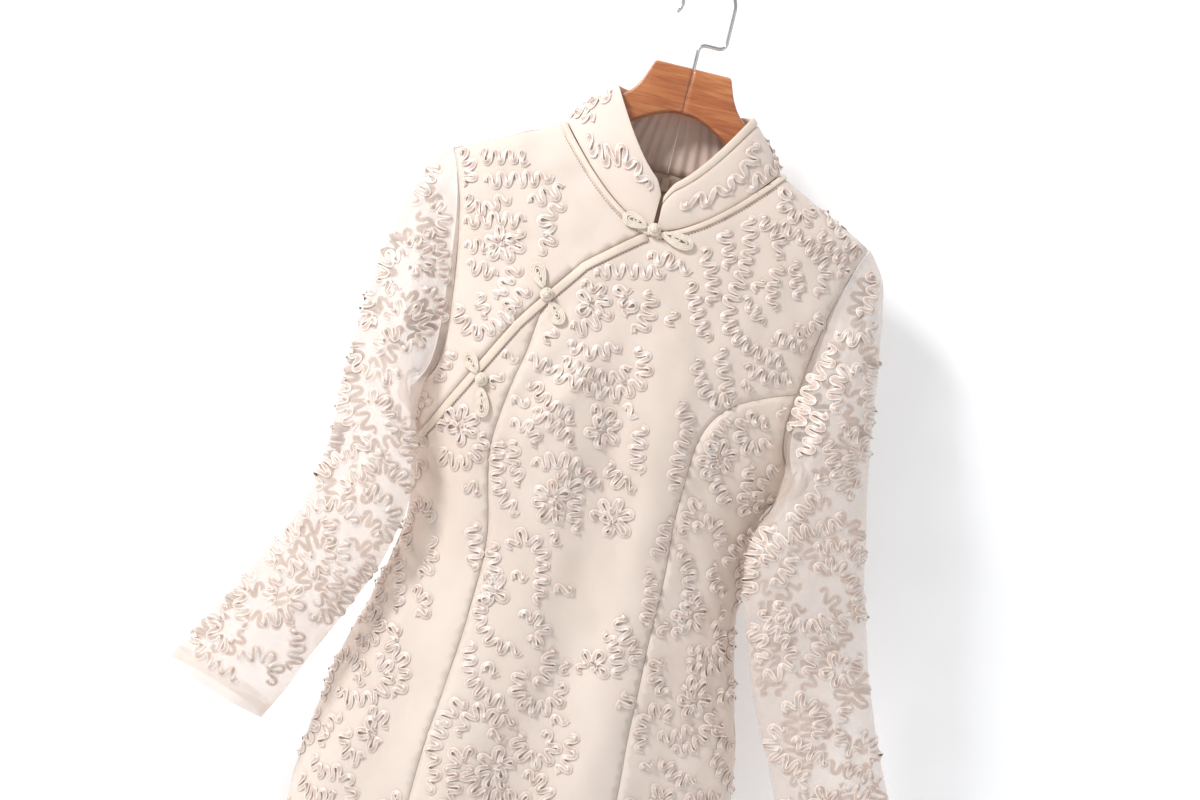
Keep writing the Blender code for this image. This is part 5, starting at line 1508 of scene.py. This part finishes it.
def smoothLine(points, step):  # a soft curve through a few points, in even steps
    points = np.asarray(points, dtype=float)
    if len(points) > 2:
        key = travelled(points)
        table = np.concatenate((key[:, None], points), axis=1)
        fine = np.linspace(0.0, key[-1], max(4, int(key[-1] / 0.8)))
        points = np.stack((smoothColumn(table, fine, 1), smoothColumn(table, fine, 2)), -1)
    length = travelled(points)
    at = np.linspace(0.0, length[-1], max(2, int(length[-1] / step) + 1))
    return np.stack((np.interp(at, length, points[:, 0]), np.interp(at, length, points[:, 1])), -1)


def rosetteLine(x, z, start):
    t = np.linspace(0.0, 1.0, 60)
    radius = 3.2 + 12.6 * t
    angle = math.radians(start) + 2.0 * math.pi * 1.3 * t
    return np.stack((x + radius * np.cos(angle), z + radius * np.sin(angle)), -1)


class TrailGrid:
    # cells of a panel where another trail may still run

    def __init__(self, loop, edge, keepOut, seed, bare):
        cell = trailCut["cell"]
        self.rng = np.random.default_rng(seed)
        self.low = loop.min(axis=0) - 2.0 * cell
        self.shape = tuple(int(v) for v in np.ceil((loop.max(axis=0) - self.low) / cell) + 3)
        index = np.stack(np.meshgrid(*(np.arange(n) for n in self.shape), indexing="ij"), -1)
        spots = self.low + (index.reshape(-1, 2) + 0.5) * cell
        good = insideLoop(spots, loop).reshape(self.shape)
        ring = np.concatenate((loop, loop[:1]))
        for line, gap in keepOut:
            good &= ~self.around(line, gap)
        self.open = good & ~self.around(ring, edge)
        self.tight = good & ~self.around(ring, edge - 1.0)
        self.taken = np.zeros(self.shape, dtype=bool)
        self.mine = np.zeros(self.shape, dtype=bool)
        self.dense = self.patches(spots) > bare
        self.disc = self.discOf(trailCut["apart"])

    def discOf(self, radius):
        reach = int(radius / trailCut["cell"]) + 1
        grid = np.arange(-reach, reach + 1) * trailCut["cell"]
        return np.hypot(grid[:, None], grid[None]) < radius

    def around(self, line, gap):  # cells closer than the gap to a line
        grid, disc = np.zeros(self.shape, dtype=bool), self.discOf(gap)
        for start, end in zip(line, line[1:]):
            steps = max(1, int(math.dist(start, end) / 2.5))
            for part in np.arange(steps) / steps:
                spot = (start[0] + (end[0] - start[0]) * part, start[1] + (end[1] - start[1]) * part)
                self.stamp(grid, spot, disc)
        return grid

    def patches(self, spots):  # soft random field from 0 to 1
        size = trailCut["patch"]
        place = (spots - self.low) / size
        low = np.floor(place).astype(int)
        part = smoothStep(place - low)
        values = self.rng.random(tuple(low.max(axis=0) + 3))
        total = 0.0
        for du in (0, 1):
            for dz in (0, 1):
                weight = (part[:, 0] if du else 1 - part[:, 0]) * (part[:, 1] if dz else 1 - part[:, 1])
                total = total + weight * values[low[:, 0] + du, low[:, 1] + dz]
        return total.reshape(self.shape)

    def cellOf(self, point):
        cell = trailCut["cell"]
        return int((point[0] - self.low[0]) / cell), int((point[1] - self.low[1]) / cell)

    def free(self, point):
        a, b = self.cellOf(point)
        if not (0 <= a < self.shape[0] and 0 <= b < self.shape[1]):
            return False
        return self.open[a, b] and not self.taken[a, b] and not self.mine[a, b]

    def stamp(self, grid, point, disc=None):
        disc = self.disc if disc is None else disc
        a, b = self.cellOf(point)
        a, b = a - disc.shape[0] // 2, b - disc.shape[1] // 2
        if a + disc.shape[0] <= 0 or b + disc.shape[1] <= 0:
            return
        some = grid[max(a, 0):a + disc.shape[0], max(b, 0):b + disc.shape[1]]
        some |= disc[max(-a, 0):max(-a, 0) + some.shape[0], max(-b, 0):max(-b, 0) + some.shape[1]]

    def keep(self, line):
        for point in line[::2]:
            self.stamp(self.taken, point)

    def walk(self, start, heading, bend, longest):
        step, look = trailCut["step"], trailCut["look"]
        lag = int(trailCut["apart"] * 1.25 / step)
        points = [start]
        total = int(longest / step)
        curl = 1.0 if bend > 0 else -1.0
        for index in range(total):
            left = (total - index) * step
            if left < 20.0:
                bend += (curl / 7.5 - bend) * 0.12
            else:
                bend = float(np.clip(bend + self.rng.normal(0.0, 0.006), -0.075, 0.075))
                if self.rng.random() < 0.018:
                    bend = -bend
                    curl = -curl
            base = heading + bend * step
            for turn in (0.0, 0.12, -0.12, 0.26, -0.26, 0.42, -0.42):
                angle = base + turn
                x, z = points[-1][0] + math.cos(angle) * step, points[-1][1] + math.sin(angle) * step
                ahead = (x + math.cos(angle) * (look - step), z + math.sin(angle) * (look - step))
                if self.free((x, z)) and (left < 12.0 or self.free(ahead)):
                    break
            else:
                break
            heading = angle
            points.append((x, z))
            if len(points) > lag:
                self.stamp(self.mine, points[-1 - lag])
        return points

    def scroll(self, start, longest, shortest):
        self.mine[:] = False
        heading = self.rng.uniform(0.0, 2.0 * math.pi)
        bend = self.rng.uniform(0.012, 0.06) * self.rng.choice((-1.0, 1.0))
        one = self.walk(start, heading, bend, longest * 0.6)
        for point in one[::2]:
            if math.dist(point, start) > trailCut["apart"] * 0.8:
                self.stamp(self.mine, point)
        two = self.walk(start, heading + math.pi, -bend, longest * 0.4)
        line = np.array(two[::-1] + one[1:])
        if len(line) * trailCut["step"] < shortest:
            return None
        return line


def clippedRuns(line, grid, shortest=9.0):
    keep = []
    for point in line:
        a, b = grid.cellOf(point)
        inside = 0 <= a < grid.shape[0] and 0 <= b < grid.shape[1]
        keep.append(bool(inside and grid.tight[a, b]))
    runs, run = [], []
    for point, good in zip(line, keep):
        if good:
            run.append(point)
        elif run:
            runs.append(run)
            run = []
    runs.append(run)
    return [np.array(run) for run in runs if len(run) * trailCut["step"] > shortest]


def layTrails(loop, seed, placed=(), keepOut=(), edge=None, bare=None):
    grid = TrailGrid(loop, trailCut["edge"] if edge is None else edge, keepOut, seed,
                     trailCut["bare"] if bare is None else bare)
    trails = []
    for line in placed:
        for run in clippedRuns(line, grid):
            trails.append(run)
            grid.keep(run)
    for count, longest, shortest in trailCut["passes"]:
        for _ in range(count):
            cells = np.argwhere(grid.open & ~grid.taken & grid.dense)
            if not len(cells):
                break
            spot = cells[grid.rng.integers(len(cells))]
            start = tuple(grid.low + (spot + 0.5) * trailCut["cell"])
            line = grid.scroll(start, grid.rng.uniform(0.5, 1.0) * longest, shortest)
            if line is None:
                grid.taken[spot[0], spot[1]] = True
                continue
            trails.append(line)
            grid.keep(line)
    return trails


ribbonCut = {
    "swing": 5.8, "period": 11.4, "overhang": 0.6, "width": 4.3, "steps": 14,
    "across": (-1.0, -0.62, 0.0, 0.62, 1.0),
    "flat": (1.6, 1.75, 0.8, 1.75, 1.6),
    "turned": (0.9, 1.2, 1.5, 3.4, 3.7),
    "turnedWidth": 0.88,
}


def ribbonStrip(line, rng):
    # cloth places and lifts of one ribbon that swings along a trail
    cut = ribbonCut
    length = travelled(line)
    halves = max(2, round(length[-1] / (cut["period"] / 2.0)))
    spans = rng.uniform(0.76, 1.26, halves)
    marks = np.concatenate(([0.0], np.cumsum(spans))) / spans.sum() * length[-1]
    swing = rng.uniform(0.74, 1.2, halves + 1) * cut["swing"]
    swing[0] *= 0.7
    swing[-1] *= 0.7
    count = halves * cut["steps"] // 2 + 1
    half = np.linspace(0.0, halves, count)
    phase = half * math.pi
    turn = np.clip(np.round(half - 0.5).astype(int), 0, halves - 1)
    size = swing[turn] * (1.0 - (half - turn)) + swing[np.minimum(turn + 1, halves)] * (half - turn)
    lean = np.interp(half, np.arange(halves + 1), rng.normal(0.0, 0.45, halves + 1))
    along = np.interp(half, np.arange(halves + 1), marks) - cut["overhang"] * np.sin(2.0 * phase)
    side = size * np.sin(phase)
    along = along + lean * side * 0.22

    def trailPoint(at):
        at = np.clip(at, 0.0, length[-1])
        return np.stack((np.interp(at, length, line[:, 0]), np.interp(at, length, line[:, 1])), -1)

    def spot(at, off):
        ahead = unit(trailPoint(at + 2.0) - trailPoint(at - 2.0))
        extra = (at - np.clip(at, 0.0, length[-1]))[:, None]
        return trailPoint(at) + ahead * extra + leftOf(ahead) * off[:, None]

    centre = spot(along, side)
    ahead = unit(np.gradient(centre, axis=0))
    sideways = leftOf(ahead)
    lifted = np.sin(phase)
    share = np.abs(lifted) ** 0.9
    hand = -np.sign(lifted)  # the outer edge of each bend stands up
    turned = np.asarray(cut["turned"])
    high = 0.75 + 0.5 * np.interp(half, np.arange(halves + 1), rng.random(halves + 1))
    rows, lifts = [], []
    for index, part in enumerate(cut["across"]):
        narrow = 1.0 - (1.0 - cut["turnedWidth"]) * share
        rows.append(centre + sideways * (part * cut["width"] / 2.0 * narrow)[:, None])
        one = np.where(hand > 0, turned[index], turned[len(turned) - 1 - index])
        lifts.append(cut["flat"][index] * (1.0 - share) + one * share * high)
    spots, lifts = np.stack(rows, 1), np.stack(lifts, 1)
    travel = travelled(centre)
    return spots, lifts, travel


def ribbonWork(name, trails, place, seed, rise=0.0):
    rng = np.random.default_rng(seed)
    spots, lifts, uvs, faces, base = [], [], [], [], 0
    columns = len(ribbonCut["across"])
    v = (np.asarray(ribbonCut["across"]) + 1.0) / 2.0
    for line in trails:
        spot, lift, travel = ribbonStrip(line, rng)
        rows = len(spot)
        spots.append(spot)
        lifts.append(lift + rise)
        uvs.append(pairs(travel[:, None] * mm, v[None]))
        faces += [tuple(base + i for i in face) for face in gridFaces(rows, columns)]
        base += rows * columns
    spots = np.concatenate(spots)
    verts = place(spots[..., 0], spots[..., 1], np.concatenate(lifts), True).reshape(-1, 3)
    item = meshObject(name, verts, faces, finishes["ribbon"])
    setUv(item, np.concatenate(uvs))
    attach(item, "dress")
    print(name, len(trails), "trails", len(faces) * 2, "triangles")
    return item


def flatLine(points):
    points = np.asarray(points, dtype=float)
    return np.stack((across(points[:, 0], points[:, 1], "front"), points[:, 1]), -1)


# ground that trails keep off: half widths round each line; edges and bare shares by piece; seeds
layout = {
    "plain": 4.0, "frog": 10.0, "neck": 12.4, "opening": 14.0, "zip": 10.5,
    "sleeve": {"edge": 3.6, "bareFront": 0.30, "bareBack": 0.42, "rise": 0.2},
    "collar": {"edge": 7.0, "bare": 0.1, "rise": 0.3},
    "seeds": {
        "front_main": 5, "side_front_right": 6, "side_front_left": 7, "front_under": 8,
        "back_right": 9, "back_left": 10,
    },
}
placedLines = [flatLine(smoothLine(line, 1.2)) for line in trailCut["placed"]]
placedLines += [flatLine(rosetteLine(*row)) for row in trailCut["rosettes"]]
plainGround = [
    (flatLine(smoothLine(line, 6.0)), wide + layout["plain"]) for line, wide in trailCut["plain"]
]
frogSpots = []
for x, z, one, two, lengthOne, lengthTwo, _ in frogCut["places"]:
    ends = []
    for turn, long in ((one, lengthOne), (two, lengthTwo)):
        angle, reach = math.radians(turn), frogCut["loop"] + long
        ends.append((x + math.cos(angle) * reach, z + math.sin(angle) * reach))
    frogSpots.append((flatLine(smoothLine([ends[0], (x, z), ends[1]], 5.0)), layout["frog"]))

openLine = np.array(openingLine())
neckFront, neckBack = np.array(neckline("front", -97.0)), np.array(neckline("back", -97.0))
ribbons = {}
for node, seed in layout["seeds"].items():
    panel = panels[node]
    front = panel["side"] == "front"
    keepOut = [(neckFront if front else neckBack, layout["neck"])]
    if front:
        keepOut += plainGround + frogSpots
    if node == "front_main":
        keepOut.append((openLine, layout["opening"]))
    if not front:
        keepOut.append((np.array(((0.0, -160.0), (0.0, -660.0))), layout["zip"]))
    trails = layTrails(panel["loop"], seed, placedLines if front else (), keepOut)
    name = "ribbon" + "".join(word.title() for word in node.split("_"))
    ribbons[node] = ribbonWork(name, trails, bodyPlace(panel["side"]), seed + 50)


def sleeveSide(rows, front):  # outline of the sleeve's front or back as seen from the front
    row = np.linspace(0.35, len(rows) - 1.28, 44)
    sign = 1.0 if front else -1.0
    turn = np.linspace(math.pi, 0.0, 26)[1:-1] * sign
    outer, inner = sleeveSurface(rows, row, 0.0), sleeveSurface(rows, row, math.pi)
    head = sleeveSurface(rows, np.full(len(turn), 0.35), turn)
    points = np.concatenate((outer, inner[::-1], head))
    return cleanLoop(points[:, (0, 2)].tolist())


def sleeveCast(item, mirror, front):  # lays seen places on the sleeve's cloth
    verts = [vert.co / mm for vert in item.data.vertices]
    tree = BVHTree.FromPolygons(verts, [tuple(face.vertices) for face in item.data.polygons])
    sign = -1.0 if front else 1.0

    def place(x, z, lift, shared=False):
        result = np.empty(x.shape + (3,))
        for spot in np.ndindex(x.shape):
            start = Vector((float(x[spot]) * mirror, 400.0 * sign, float(z[spot])))
            hit, normal, _, _ = tree.ray_cast(start, Vector((0.0, -sign, 0.0)))
            if hit is None:
                hit, normal, _, _ = tree.find_nearest(start - Vector((0.0, 370.0 * sign, 0.0)))
            if normal.y * sign < 0.0:
                normal = -normal
            result[spot] = hit + normal * float(lift[spot])
        return result

    return place


for name, sleeve in sleeves.items():
    parts = []
    for front in (True, False):
        loop, cut = sleeveSide(sleeve["rows"], front), layout["sleeve"]
        bare = cut["bareFront"] if front else cut["bareBack"]
        trails = layTrails(loop, 31 + len(name) + front, edge=cut["edge"], bare=bare)
        place = sleeveCast(sleeve["item"], sleeve["mirror"], front)
        label = "ribbonSleeve" + name.title() + ("Front" if front else "Back")
        parts.append(ribbonWork(label, trails, place, 80 + len(name) + front, cut["rise"]))
    ribbons["sleeve_" + name] = parts
for name, collar in collars.items():
    loop, cut = cleanLoop(collar["loop"].tolist()), layout["collar"]
    trails = layTrails(loop, 41 if name == "left" else 42, edge=cut["edge"], bare=cut["bare"])
    ribbons["collar_" + name] = ribbonWork(
        "ribbonCollar" + name.title(), trails, collarPlace(collar["mirror"]), 90 + len(name), cut["rise"],
    )


# sewing that shows, and the sheets' cut sizes

sewing = {
    "band": {"long": 1.7, "pitch": 2.7, "thick": 0.4},
    "hem": {"long": 1.2, "pitch": 5.0, "thick": 0.22},
    "hemUp": 24.0, "belowBand": 0.9, "neckIn": 8.0,
    # assumed: how far a cut's box goes past its area, and the collar's length in metres;
    # the areas of sleeves, collar and linings are those of the meshes themselves
    "sleeveLonger": 1.04, "sleeveShape": 1.35, "wider": 1.02, "collarLong": 0.215,
}
_, below = openingRails(opening["band"] + sewing["belowBand"])
stitches = [stitchRow("stitchesBand", below, bodyPlace("front"), 0.15, sewing["band"], finishes["thread"])]
for name, sign in (("Left", -1.0), ("Right", 1.0)):
    x = np.linspace(4.0, body["neckHalf"] - sewing["neckIn"], 60)
    z = necklineZ(x, "front") - 7.2 * (1.0 - 0.45 * x / body["neckHalf"])
    x = x * (1.0 + 6.0 / body["neckHalf"])
    line = np.stack((across(x, z, "front") * sign, z), -1)
    stitches.append(stitchRow("stitchesNeck" + name, line, bodyPlace("front"), 0.15,
                              sewing["band"], finishes["thread"]))
for side in ("front", "back"):
    edge = float(quarterGirth(body["hemZ"] + sewing["hemUp"], side)) - 2.0
    line = np.stack((np.linspace(-edge, edge, 80), np.full(80, body["hemZ"] + sewing["hemUp"])), -1)
    stitches.append(stitchRow("stitchesHem" + side.title(), line, bodyPlace(side), 0.1,
                              sewing["hem"], finishes["thread"]))


def clothArea(item, layers=2.0):
    return sum(face.area for face in item.data.polygons) / layers


for name, sleeve in sleeves.items():
    area = clothArea(sleeve["item"], 1.0)
    long = sleeve["long"] * sewing["sleeveLonger"]
    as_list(ribbons["sleeve_" + name])
for name, collar in collars.items():
    area = clothArea(collar["item"])
    tall = float(collarHeight(np.array([math.pi / 2.0]))[0]) * mm
    size = (max(sewing["collarLong"], area / tall * sewing["wider"]), tall)
    area = clothArea(linings[name])
    tall = float(collarHeight(np.array([2.6]))[0] - 5.0) * mm


# plain pale studio: a wall close behind, a floor below, soft light from the upper left

studio = {
    "wallY": 0.078, "floorZ": -1.30, "size": 6.0,
    "wall": (0.93, 0.935, 0.945), "floor": (0.86, 0.86, 0.86), "wallGlow": 0.22,
    "world": (0.95, 0.97, 1.0, 1.0), "strength": 0.47,
    # name, place, aim, energy, side
    "lights": (
        ("key", (-1.6, -1.35, 1.0), (0.0, 0.0, -0.45), 44.5, 0.5),
        ("fill", (1.4, -2.0, -0.2), (0.0, 0.0, -0.5), 5.0, 1.6),
        ("rim", (0.5, 1.8, 1.2), (0.0, 0.0, -0.5), 8.0, 1.4),
    ),
}


def addLight(name, place, towards, energy, size):
    data = bpy.data.lights.new(name, "AREA")
    data.energy = energy
    data.shape = "RECTANGLE"
    data.size, data.size_y = size, size
    item = bpy.data.objects.new(name, data)
    item.location = place
    item.rotation_euler = (Vector(towards) - Vector(place)).to_track_quat("-Z", "Y").to_euler()
    bpy.context.scene.collection.objects.link(item)


def paleMaterial(name, colour, oneSided):
    material, tree, shader = startMaterial(name, 0.9)
    shader.inputs["Base Color"].default_value = colour + (1.0,)
    shader.inputs["Emission Color"].default_value = (1.0, 1.0, 1.0, 1.0)
    shader.inputs["Emission Strength"].default_value = studio["wallGlow"] if oneSided else 0.0
    if oneSided:  # the wall lets views from behind look through
        back = addNode(tree, "ShaderNodeNewGeometry").outputs["Backfacing"]
        clear = addNode(tree, "ShaderNodeBsdfTransparent")
        mix = addNode(tree, "ShaderNodeMixShader", {0: back})
        tree.links.new(shader.outputs[0], mix.inputs[1])
        tree.links.new(clear.outputs[0], mix.inputs[2])
        tree.links.new(mix.outputs[0], tree.nodes["Material Output"].inputs[0])
    return material


def addStage():
    size = studio["size"]
    bpy.ops.mesh.primitive_plane_add(
        size=size, location=(0.0, studio["wallY"], 0.4), rotation=(math.pi / 2.0, 0.0, 0.0),
    )
    wall = bpy.context.active_object
    wall.name = "wall"
    wall.data.materials.append(paleMaterial("paleWall", studio["wall"], True))
    bpy.ops.mesh.primitive_plane_add(size=size, location=(0.0, 0.0, studio["floorZ"]))
    floor = bpy.context.active_object
    floor.name = "floor"
    floor.data.materials.append(paleMaterial("paleFloor", studio["floor"], False))
    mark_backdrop(wall, floor)
    world = bpy.data.worlds.new("studio")
    world.use_nodes = True
    sky = world.node_tree.nodes["Background"]
    sky.inputs[0].default_value = studio["world"]
    sky.inputs[1].default_value = studio["strength"]
    bpy.context.scene.world = world
    for row in studio["lights"]:
        addLight(*row)
    bpy.context.scene.view_settings.view_transform = "Standard"


addStage()


boxes = {"cad": cadBox, "visual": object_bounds()}
{key: [list(map(float, corner)) for corner in box] for key, box in boxes.items()}
